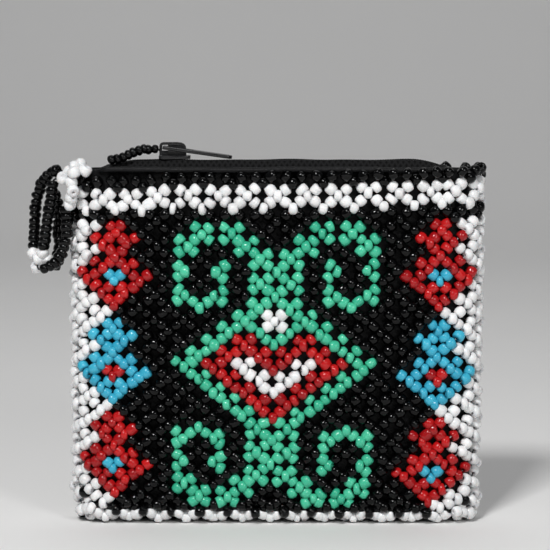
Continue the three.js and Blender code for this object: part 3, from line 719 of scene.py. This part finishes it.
def pouchSteps(k):
    # the path that each ring follows, as insets from the bead centres and heights: up the outside, over the
    # lip or, past its ends, over a plain edge, and down inside
    out, floor, lipOut = k["inset"], k["floor"], -k["lipOut"]
    mouth = out + k["wall"]
    bottom = floor + k["wall"]
    low, high, rings = k["wallHeights"]
    outside = [(out + 2.2 * mm, floor), (out + 0.9 * mm, floor + 0.15 * mm),
               (out + 0.2 * mm, floor + 0.8 * mm), (out, floor + 2.0 * mm)]
    outside += [(out, z) for z in np.linspace(low, high, rings)] + [(out, 86.6 * mm)]
    lip = [(out - 0.1 * mm, 87.75 * mm), (out - 0.9 * mm, 87.86 * mm), (lipOut + 0.35 * mm, 87.9 * mm),
           (lipOut, 88.25 * mm), (lipOut + 0.02 * mm, 88.8 * mm), (lipOut + 0.42 * mm, 89.18 * mm),
           (lipOut + 1.2 * mm, 89.27 * mm), (out - 0.3 * mm, 89.1 * mm), (mouth - 0.2 * mm, 88.8 * mm),
           (mouth, 88.3 * mm)]
    edge = [(out, 87.4 * mm), (out, 87.7 * mm), (out, 87.9 * mm), (out, 88.1 * mm), (out, 88.3 * mm),
            (out + 0.1 * mm, 88.5 * mm), (out + 0.4 * mm, 88.6 * mm), (out + 0.7 * mm, 88.55 * mm),
            (mouth - 0.05 * mm, 88.4 * mm), (mouth, 88.2 * mm)]
    inside = [(mouth, z) for z in np.linspace(high, bottom + 3 * mm, rings)]
    inside += [(mouth + 0.3 * mm, bottom + 0.9 * mm), (mouth + 1.0 * mm, bottom + 0.25 * mm),
               (mouth + 1.8 * mm, bottom)]
    isLip = np.concatenate([np.zeros(len(outside)), np.ones(len(lip)), np.zeros(len(inside))])
    return np.array(outside + lip + inside), np.array(outside + edge + inside), isLip


def pouch():
    # rings round the purse, one for each step of the path: the lip's steps blend into the plain edge's at the
    # lip's ends, a few sine waves make the lip waver, and the two floors are drawn flat to the middle line
    k = pouchLook
    onFlat, onSide = k["sideColumns"]
    quarter = np.concatenate([np.linspace(0, flatHalf, onFlat, endpoint=False),
                              np.linspace(flatHalf, halfRound, onSide)])
    half = np.concatenate([-quarter[:0:-1], quarter])
    lipped, plain, isLip = pouchSteps(k)
    before, past = k["lipFade"]
    share = 1 - smoothStep(np.abs(half), k["lipEnd"] - before, k["lipEnd"] + past)
    blended = lipped[:, None, :] * share[None, :, None] + plain[:, None, :] * (1 - share)[None, :, None]
    wave = sum(part * np.sin(half / length + phase) for part, length, phase in k["waves"])
    inset = blended[..., 0]
    height = blended[..., 1] + isLip[:, None] * (wave * share)[None, :] * k["waver"]
    x, y, _ = sectionAt(np.broadcast_to(half, inset.shape), height, inset, inset)
    front = np.stack([x, y, height], axis=-1)
    back = front[:, 1:-1][:, ::-1] * np.array([1, -1, 1])
    rings = np.concatenate([front, back], axis=1)
    toMiddle = np.array([k["seamShare"], 0.0, 1.0])
    rings = np.concatenate([rings[:1] * toMiddle, rings, rings[-1:] * toMiddle])
    made = meshObject("pouch", rings, gridFaces(*rings.shape[:2], closeColumns=True))
    weldSeams(made)
    return made


pouchPiece = pouch()
print("pouch made")

# the zip: woven tapes, nylon coils
zipLook = {
    "halfLength": 42.6 * mm,
    "flatHalf": 33.5 * mm,
    "drop": 1.9 * mm,
    "tapeTop": 90.7 * mm,
    "tapeThick": 0.6 * mm,
    "tapeFlat": 2.6 * mm,
    "tapeSteps": 440,
    "edgeHeight": 88.9 * mm,
    "slot": 0.55 * mm,
    "mouthHalf": 3.95 * mm,
    "seatGap": 0.3 * mm,
    "tuck": 3.0 * mm,  # the tapes run on past the coil
    "narrowest": 0.4 * mm,
    "ribPitch": 0.62 * mm,
    "ribHeight": 0.035 * mm,
    "puckers": ((0.10 * mm, 5.1 * mm, 1.0), (0.06 * mm, 2.3 * mm, 0.0)),  # height, length, phase by side
    "coilShort": 1.2 * mm,  # the coil ends so far before the zip does
    "coilWidth": 1.9 * mm,
    "coilHeight": 1.7 * mm,
    "coilPitch": 1.3 * mm,
    "coilLean": 0.25,
    "coilSquareness": 0.75,
    "coilSides": 14,
    "coilGap": 0.3 * mm,
    "wire": 0.62 * mm,
    "wireInset": (0.32 * mm, 0.3 * mm),  # from the coil's width and height to the wire's middle
}


def zipDip(x):
    # past the flat stretch the zip drops as the square of the distance
    past = np.maximum(0, np.abs(x) - zipLook["flatHalf"]) / (zipLook["halfLength"] - zipLook["flatHalf"])
    return -zipLook["drop"] * past ** 2


def zipTape(name, side):
    # a loop of points round the tape's section, carried along the zip: level beside the slit, then sloping to
    # its edge, which follows the mouth's round end. Ribs run across it and a welt along its slit
    k = zipLook
    reach = k["halfLength"] + k["tuck"]
    x = np.linspace(-reach, reach, k["tapeSteps"])
    past = np.maximum(0, np.abs(x) - flatHalf)
    edge = np.sqrt(k["mouthHalf"] ** 2 - past ** 2) - k["seatGap"]
    crease = np.minimum(k["tapeFlat"], edge - k["narrowest"])
    slope = (k["edgeHeight"] - k["tapeTop"]) / (k["mouthHalf"] - k["seatGap"] - k["tapeFlat"])
    # each point of the section: share of the level part, share of the sloping part, height in mm
    top = [(0, 0, -0.30), (0.01, 0, -0.08), (0.11, 0, 0.02), (0.25, 0, -0.01), (0.5, 0, 0.0), (0.8, 0, 0.0),
           (0.96, 0, -0.02), (1, 0.12, -0.04), (1, 0.4, -0.01), (1, 0.72, 0.0), (1, 1, 0.0)]
    low = [(1, 1, -0.5), (1, 0.7, -0.56), (1, 0.35, -0.58), (0.95, 0, -0.58), (0.5, 0, -0.58), (0, 0, -0.58)]
    levelShare, slopeShare, raised = np.array(top + low).T
    isTop = np.concatenate([np.ones(len(top)), np.zeros(len(low))])
    level, sloping = (crease - k["slot"])[:, None], (edge - crease)[:, None]
    y = k["slot"] + levelShare * level + slopeShare * sloping
    rib = np.sin(2 * np.pi * x / k["ribPitch"])[:, None] * k["ribHeight"] * isTop
    pucker = sum(height * np.sin(x / length + phase * side) for height, length, phase in k["puckers"])
    z = k["tapeTop"] + raised * mm + slopeShare * slope * sloping + rib + (pucker + zipDip(x))[:, None]
    grid = np.stack([np.broadcast_to(x[:, None], z.shape), y * side, z], axis=-1)
    width = grid.shape[1]
    ends = [np.repeat(end.mean(axis=1, keepdims=True), width, axis=1) for end in (grid[:1], grid[-1:])]
    grid = np.concatenate([ends[0], grid, ends[1]])
    made = meshObject(name, grid, gridFaces(*grid.shape[:2], closeColumns=True))
    weldSeams(made)
    return made


def squared(v):
    # a sine or cosine raised to a power below one, so that a round loop gets flat sides
    return np.sign(v) * np.abs(v) ** zipLook["coilSquareness"]


def zipCoil(name, side):
    # a wire that winds along the zip: a flattened loop for each turn, leaning into the next
    k = zipLook
    turns = int(2 * (k["halfLength"] - k["coilShort"]) / k["coilPitch"])
    t = np.arange(turns * k["coilSides"] + 1) / k["coilSides"]
    angle = 2 * np.pi * t
    x = k["coilPitch"] * (t - turns / 2 + k["coilLean"] * side * (0.5 - 0.5 * np.cos(angle)))
    insetY, insetZ = k["wireInset"]
    middleY = k["slot"] + k["coilWidth"] / 2
    middleZ = k["tapeTop"] - k["tapeThick"] - k["coilGap"] - k["coilHeight"] / 2
    y = side * (middleY - (k["coilWidth"] / 2 - insetY) * squared(np.cos(angle)))
    z = middleZ + (k["coilHeight"] / 2 - insetZ) * squared(np.sin(angle)) + zipDip(x)
    points = np.stack([x, y, z], axis=-1)
    return tubeAlong(name, points, unit(np.gradient(points, axis=0)), k["wire"], sides=6)


tapeFront = zipTape("tape_front", -1)
tapeRear = zipTape("tape_rear", 1)
coilFront = zipCoil("coil_front", -1)
coilRear = zipCoil("coil_rear", 1)
print("zip made")

# slider and pull tab: the solids with softened edges
castLook = {
    "flatWithin": math.radians(1.0),  # faces that turn by less than this become one
    "sharpFrom": math.radians(28),  # edges that turn by more are rounded
    "segments": 3,
    "near": 0.005 * mm,  # points nearer than this become one
    "sliderEdge": 0.22 * mm,
    "tabEdge": 0.2 * mm,
}
# the crown is cast nearly closed, with a slot that the tab's bar turns in
crownWeb = {
    "sliderAt": -25.2 * mm,
    "half": 0.55 * mm,
    # blocks inside its arch: from and to, along the slider from its middle, and their low and high heights
    "blocks": [(-1.65 * mm, 2.3 * mm, 91.6 * mm, 94.6 * mm), (-3.2 * mm, -1.65 * mm, 91.6 * mm, 93.0 * mm)],
}


def softCopy(name, node, rounding):
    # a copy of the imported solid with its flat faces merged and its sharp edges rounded
    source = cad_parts[node]
    mesh = source.data.copy()
    mesh.name = name
    mesh.transform(source.matrix_world)
    mesh.materials.clear()
    made = bpy.data.objects.new(name, mesh)
    bpy.context.collection.objects.link(made)
    weldSeams(made, castLook["near"])
    work = bmesh.new()
    work.from_mesh(mesh)
    bmesh.ops.dissolve_limit(work, angle_limit=castLook["flatWithin"], verts=work.verts, edges=work.edges)
    work.to_mesh(mesh)
    work.free()
    mesh.update()
    edge = made.modifiers.new("edges", "BEVEL")
    edge.width = rounding
    edge.segments = castLook["segments"]
    edge.limit_method = "ANGLE"
    edge.angle_limit = castLook["sharpFrom"]
    edge.harden_normals = True
    mesh.polygons.foreach_set("use_smooth", np.ones(len(mesh.polygons), dtype=bool))
    return made


def addWeb(made, k):
    # plain blocks joined to the slider's mesh: eight corners and six faces each
    faces = [(0, 1, 3, 2), (4, 6, 7, 5), (0, 4, 5, 1), (2, 3, 7, 6), (0, 2, 6, 4), (1, 5, 7, 3)]
    work = bmesh.new()
    work.from_mesh(made.data)
    for start, end, low, high in k["blocks"]:
        x = (k["sliderAt"] + start, k["sliderAt"] + end)
        corners = [(a, b, c) for a in x for b in (-k["half"], k["half"]) for c in (low, high)]
        verts = [work.verts.new(corner) for corner in corners]
        for face in faces:
            work.faces.new([verts[n] for n in face])
    bmesh.ops.recalc_face_normals(work, faces=work.faces)
    work.to_mesh(made.data)
    work.free()
    made.data.polygons.foreach_set("use_smooth", np.ones(len(made.data.polygons), dtype=bool))


sliderPiece = softCopy("slider", "slider_body", castLook["sliderEdge"])
addWeb(sliderPiece, crownWeb)
tabPiece = softCopy("tab", "pull_tab", castLook["tabEdge"])
print("slider and tab made")


# finishes

def newFinish(name):
    # a fresh material, its nodes, its links and its shader
    made = bpy.data.materials.new(name)
    made.use_nodes = True
    tree = made.node_tree
    return made, tree.nodes, tree.links, tree.nodes["Principled BSDF"]


def noiseOn(nodes, links, scale, detail=3.0, roughness=0.55):
    # noise that stays on the piece, at so many bumps a metre
    place = nodes.new("ShaderNodeTexCoord")
    noise = nodes.new("ShaderNodeTexNoise")
    noise.inputs["Scale"].default_value = scale
    noise.inputs["Detail"].default_value = detail
    noise.inputs["Roughness"].default_value = roughness
    links.new(place.outputs["Object"], noise.inputs["Vector"])
    return noise.outputs["Fac"]


def spread(nodes, links, value, low, high, fromLow=0.0, fromHigh=1.0):
    # a value between fromLow and fromHigh stretched to lie between low and high
    node = nodes.new("ShaderNodeMapRange")
    node.inputs["From Min"].default_value = fromLow
    node.inputs["From Max"].default_value = fromHigh
    node.inputs["To Min"].default_value = low
    node.inputs["To Max"].default_value = high
    links.new(value, node.inputs["Value"])
    return node.outputs["Result"]


def blendColours(nodes, links, share, one, two):
    # colour one where the share is 0 and colour two where it is 1; each is a colour or another node's output
    node = nodes.new("ShaderNodeMix")
    node.data_type = "RGBA"
    links.new(share, node.inputs["Factor"])
    for socket, value in ((node.inputs[6], one), (node.inputs[7], two)):
        if isinstance(value, tuple):
            socket.default_value = (*value, 1.0)
        else:
            links.new(value, socket)
    return node.outputs[2]


def bumpFrom(nodes, links, shader, value, distance, strength):
    # the surface leans as if the value were its height
    node = nodes.new("ShaderNodeBump")
    node.inputs["Distance"].default_value = distance
    node.inputs["Strength"].default_value = strength
    links.new(value, node.inputs["Height"])
    links.new(node.outputs["Normal"], shader.inputs["Normal"])


def colourBetween(nodes, links, shader, share, look):
    # the base colour is the look's dark one where the share is 0 and its light one where it is 1
    links.new(blendColours(nodes, links, share, look["dark"], look["light"]), shader.inputs["Base Color"])


def roughnessFrom(nodes, links, shader, value, low, high):
    # noise seldom leaves 0.3 to 0.7, so that stretch is taken as its whole range
    links.new(spread(nodes, links, value, low, high, 0.3, 0.7), shader.inputs["Roughness"])


glassLook = {
    # light and dark glass, painted shade on the bead's ends round the hole, roughness, share of light that
    # enters, specular level
    "black": ((0.0006, 0.0006, 0.0007), (0.0014, 0.0014, 0.0016), (0.0006, 0.0006, 0.0006), 0.055, 0.0, 0.21),
    "white": ((0.86, 0.86, 0.86), (0.72, 0.72, 0.72), (0.58, 0.58, 0.60), 0.28, 0.12, 0.5),
    "green": ((0.075, 0.56, 0.34), (0.034, 0.42, 0.25), (0.014, 0.22, 0.13), 0.2, 0.05, 0.4),
    "red": ((0.52, 0.010, 0.011), (0.30, 0.005, 0.007), (0.16, 0.002, 0.003), 0.15, 0.08, 0.35),
    "blue": ((0.055, 0.45, 0.62), (0.030, 0.34, 0.50), (0.014, 0.18, 0.28), 0.2, 0.05, 0.4),
}
glassSkin = {
    # painted shade on each bead's ends, round the hole and where beads meet: how much of the shade colour at
    # most
    "paintedShadeMost": 0.85,
    "paintedShadeFrom": 0.72,  # share of the way from the bead's middle to its end where the painted shade sets in
    "noise": 1500.0,
    "roughness": (0.6, 1.7),  # lowest and highest, for each unit of the colour's own roughness
    "bump": (0.00003, 0.5),
    "ior": 1.52,
    "enterRadius": (1.0, 0.6, 0.5),
    "enterDepth": 0.0009,
}


def glassFinish(name):
    # opaque seed bead glass: each bead has its own depth of colour, shade is painted darker on its ends round
    # the hole, its skin uneven
    light, dark, endShadeColour, rough, enters, specular = glassLook[name]
    skin = glassSkin
    made, nodes, links, shader = newFinish(name + "_bead_glass")
    tone = nodes.new("ShaderNodeAttribute")
    tone.attribute_name = "beadTone"
    end = nodes.new("ShaderNodeAttribute")
    end.attribute_name = "beadEnd"
    body = blendColours(nodes, links, tone.outputs["Fac"], light, dark)
    paintedShadeShare = spread(nodes, links, end.outputs["Fac"], 0.0, skin["paintedShadeMost"], skin["paintedShadeFrom"], 1.0)
    # the ends of each bead are painted darker, as shade round the hole and where it meets its neighbours
    links.new(blendColours(nodes, links, paintedShadeShare, body, endShadeColour), shader.inputs["Base Color"])
    noise = noiseOn(nodes, links, skin["noise"])
    smoothest, roughest = skin["roughness"]
    roughnessFrom(nodes, links, shader, noise, rough * smoothest, rough * roughest)
    bumpFrom(nodes, links, shader, noise, *skin["bump"])
    shader.inputs["IOR"].default_value = skin["ior"]
    shader.inputs["Specular IOR Level"].default_value = specular
    if enters:
        shader.inputs["Subsurface Weight"].default_value = enters
        shader.inputs["Subsurface Radius"].default_value = skin["enterRadius"]
        shader.inputs["Subsurface Scale"].default_value = skin["enterDepth"]
    return made


threadLook = {
    "dark": (0.006, 0.006, 0.007),
    "light": (0.022, 0.022, 0.024),
    "noise": 2600.0,
    "roughness": 0.3,
    "grain": 6000.0,
    "bump": (0.00004, 0.6),
}


def threadFinish():
    # black nylon thread, faintly ribbed
    made, nodes, links, shader = newFinish("nylon_thread")
    colourBetween(nodes, links, shader, noiseOn(nodes, links, threadLook["noise"]), threadLook)
    shader.inputs["Roughness"].default_value = threadLook["roughness"]
    bumpFrom(nodes, links, shader, noiseOn(nodes, links, threadLook["grain"]), *threadLook["bump"])
    return made


leatheretteLook = {
    "dark": (0.003, 0.003, 0.0034),
    "light": (0.008, 0.008, 0.0085),
    "noise": (160.0, 4.0),
    "roughness": (0.42, 0.62),
    "grain": 1900.0,
    "bump": (0.00012, 0.55),
    "specular": 0.14,
}


def leatheretteFinish():
    # a fine pebbled grain of rounded cells, and broad patches of wear
    look = leatheretteLook
    made, nodes, links, shader = newFinish("black_leatherette")
    place = nodes.new("ShaderNodeTexCoord")
    grain = nodes.new("ShaderNodeTexVoronoi")
    grain.inputs["Scale"].default_value = look["grain"]
    links.new(place.outputs["Object"], grain.inputs["Vector"])
    broad = noiseOn(nodes, links, *look["noise"])
    colourBetween(nodes, links, shader, broad, look)
    roughnessFrom(nodes, links, shader, broad, *look["roughness"])
    bumpFrom(nodes, links, shader, grain.outputs["Distance"], *look["bump"])
    shader.inputs["Specular IOR Level"].default_value = look["specular"]
    return made


tapeLook = {
    "dark": (0.0025, 0.0025, 0.0025),
    "light": (0.012, 0.012, 0.0125),
    "lean": 0.9,  # radians to either side
    "wave": (360.0, 1.2, 1.0),  # scale, distortion, detail
    "roughness": 0.82,
    "specular": 0.08,
    "bump": (0.00018, 0.8),
}


def tapeFinish():
    # herringbone of the woven tape: the higher of two slanting waves
    look = tapeLook
    made, nodes, links, shader = newFinish("woven_tape")
    place = nodes.new("ShaderNodeTexCoord")
    higher = nodes.new("ShaderNodeMath")
    higher.operation = "MAXIMUM"
    scale, distortion, detail = look["wave"]
    for socket, lean in enumerate((look["lean"], -look["lean"])):
        mapping = nodes.new("ShaderNodeMapping")
        mapping.inputs["Rotation"].default_value = (0.0, 0.0, lean)
        links.new(place.outputs["Object"], mapping.inputs["Vector"])
        wave = nodes.new("ShaderNodeTexWave")
        wave.inputs["Scale"].default_value = scale
        wave.inputs["Distortion"].default_value = distortion
        wave.inputs["Detail"].default_value = detail
        links.new(mapping.outputs["Vector"], wave.inputs["Vector"])
        links.new(wave.outputs["Fac"], higher.inputs[socket])
    colourBetween(nodes, links, shader, higher.outputs[0], look)
    shader.inputs["Roughness"].default_value = look["roughness"]
    shader.inputs["Specular IOR Level"].default_value = look["specular"]
    bumpFrom(nodes, links, shader, higher.outputs[0], *look["bump"])
    return made


coilLook = {
    "dark": (0.010, 0.010, 0.011),
    "light": (0.022, 0.022, 0.024),
    "noise": 900.0,
    "roughness": (0.32, 0.5),
    "bump": (0.00004, 0.5),
}


def coilFinish():
    # black nylon wire
    look = coilLook
    made, nodes, links, shader = newFinish("nylon_coil")
    broad = noiseOn(nodes, links, look["noise"])
    colourBetween(nodes, links, shader, broad, look)
    roughnessFrom(nodes, links, shader, broad, *look["roughness"])
    bumpFrom(nodes, links, shader, broad, *look["bump"])
    return made


enamelLook = {
    "dark": (0.004, 0.004, 0.0044),
    "light": (0.011, 0.011, 0.012),
    "noise": (420.0, 4.0),
    "roughness": (0.22, 0.42),
    "coat": 0.12,
    "coatRoughness": 0.18,
    "grain": (3800.0, 2.0),
    "bump": (0.00003, 0.5),
}


def enamelFinish():
    # black enamel over die cast metal, a little dull where fingers rub it
    look = enamelLook
    made, nodes, links, shader = newFinish("black_enamel")
    broad = noiseOn(nodes, links, *look["noise"])
    fine = noiseOn(nodes, links, *look["grain"])
    colourBetween(nodes, links, shader, broad, look)
    roughnessFrom(nodes, links, shader, broad, *look["roughness"])
    shader.inputs["Coat Weight"].default_value = look["coat"]
    shader.inputs["Coat Roughness"].default_value = look["coatRoughness"]
    bumpFrom(nodes, links, shader, fine, *look["bump"])
    return made


glass = {name: glassFinish(name) for name in glassLook}
thread = threadFinish()
leatherette = leatheretteFinish()
tape = tapeFinish()
coil = coilFinish()
enamel = enamelFinish()


def finishPiece(piece, finish, body):
    # one finish, one material slot and one body for a piece
    piece.data.materials.clear()
    piece.data.materials.append(finish)
    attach(piece, body)


for piece, colour in ((blackFront, "black"), (blackBack, "black"), (blackEdges, "black"),
                      (whiteBands, "white"), (whiteBorder, "white"), (greenBeads, "green"),
                      (redBeads, "red"), (blueBeads, "blue"), (loopBeads, "black"), (dropBeads, "black"),
                      (rearBeads, "black"), (cornerBeads, "white"), (footBeads, "white")):
    finishPiece(piece, glass[colour], "purse")
finishPiece(leadBeads, glass["black"], "slider")
finishPiece(leadThread, thread, "slider")
for piece in (threadNet, loopThread, dropThread, rearThread):
    finishPiece(piece, thread, "purse")
finishPiece(pouchPiece, leatherette, "purse")
finishPiece(tapeFront, tape, "purse")
finishPiece(tapeRear, tape, "purse")
finishPiece(coilFront, coil, "purse")
finishPiece(coilRear, coil, "purse")
finishPiece(sliderPiece, enamel, "slider")
finishPiece(tabPiece, enamel, "pull_tab")

# the solids that the pieces above stand in for are hidden
inlays = [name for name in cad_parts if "_inlay_" in name]
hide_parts("net_front", *[name for name in inlays if name.startswith("net_front")])
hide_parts("net_back")
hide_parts("net_rim", "net_ring_left", "net_ring_right", "net_closing_row")
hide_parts("net_band_upper", "net_band_lower")
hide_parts("net_border_left", "net_border_right", "figure_smile", "figure_flower")
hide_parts("figure_green", *[name for name in inlays if name.startswith("figure_green")])
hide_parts("figure_heart",
            *[f"medallion_{side}_{n}" for side in ("left", "right") for n in (1, 3)],
            "medallion_eye_left_2", "medallion_eye_right_2")
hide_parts("medallion_left_2", "medallion_right_2",
            *[f"medallion_eye_{side}_{n}" for side in ("left", "right") for n in (1, 3)])
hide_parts("loop_strand_outer", "loop_strand_middle")
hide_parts("loop_strand_inner")
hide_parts("loop_strand_rear")
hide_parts("loop_cluster_corner")
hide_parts("loop_cluster_foot")
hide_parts("lead_strand")
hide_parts("leatherette_pouch")
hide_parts("zip_tape_front")
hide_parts("zip_tape_rear")
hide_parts("zip_coil_front")
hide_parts("zip_coil_rear")
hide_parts("slider_body")
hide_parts("pull_tab")

print("pieces placed on their bodies")

# floor, backdrop and light
studio = {
    "paper": (0.82, 0.815, 0.805),
    "paperFade": 0.97,
    "paperNoise": (9.0, 2.0),
    "paperRoughness": 0.9,
    "halfWidth": 1.6,
    "columns": 9,
    "levelRows": (-1.6, -0.5, 0.2),
    "turnFrom": 0.7,
    "turnRadius": 0.5,
    "turnSteps": 17,
    "wallTop": 2.2,
    # place, what it is aimed at, width and height, power
    "lamps": {
        "key": ((-0.20, -0.60, 0.72), (0.0, 0.0, 0.05), (0.17, 0.17), 6.2),
        "fill": ((0.45, -0.75, 0.40), (0.0, 0.0, 0.05), (0.2, 0.2), 2.1),
        "top": ((0.0, 0.35, 1.1), (0.0, 0.3, 0.0), (0.8, 0.5), 2.2),
    },
    "skyColour": (0.93, 0.95, 1.0, 1.0),
    "sky": 0.12,
}


def studioFloor(k):
    # a level floor that turns up into a wall behind: a quarter circle between two planes
    width = np.linspace(-k["halfWidth"], k["halfWidth"], k["columns"])
    turn = np.linspace(0, math.pi / 2, k["turnSteps"])
    radius = k["turnRadius"]
    y = np.concatenate([k["levelRows"], k["turnFrom"] + radius * np.sin(turn), [k["turnFrom"] + radius]])
    z = np.concatenate([np.zeros(len(k["levelRows"])), radius * (1 - np.cos(turn)), [k["wallTop"]]])
    x, row = np.meshgrid(width, np.arange(len(y)), indexing="xy")
    points = np.stack([x, y[row], z[row]], axis=-1)
    made = meshObject("studio_floor", points, gridFaces(len(y), len(width))[:, ::-1])
    paint, nodes, links, shader = newFinish("studio_paper")
    broad = noiseOn(nodes, links, *k["paperNoise"])
    faded = tuple(v * k["paperFade"] for v in k["paper"])
    links.new(blendColours(nodes, links, broad, k["paper"], faded), shader.inputs["Base Color"])
    shader.inputs["Roughness"].default_value = k["paperRoughness"]
    made.data.materials.append(paint)


def softLamp(name, place, aim, size, power):
    # a rectangle of light, turned about the level and the upright axis until it faces its aim
    light = bpy.data.lights.new(name, "AREA")
    light.shape = "RECTANGLE"
    light.size, light.size_y = size
    light.energy = power
    lamp = bpy.data.objects.new(name, light)
    bpy.context.collection.objects.link(lamp)
    lamp.location = place
    away = np.array(place) - np.array(aim)
    level = math.hypot(away[0], away[1])
    lamp.rotation_euler = (math.atan2(level, away[2]), 0.0, math.atan2(away[0], -away[1]))


studioFloor(studio)
for name, lamp in studio["lamps"].items():
    softLamp(name, *lamp)
world = bpy.data.worlds.new("studio") if not bpy.data.worlds else bpy.data.worlds[0]
bpy.context.scene.world = world
world.use_nodes = True
background = world.node_tree.nodes["Background"]
background.inputs["Color"].default_value = studio["skyColour"]
background.inputs["Strength"].default_value = studio["sky"]
bpy.context.scene.view_settings.view_transform = "Standard"
print("floor and light placed")
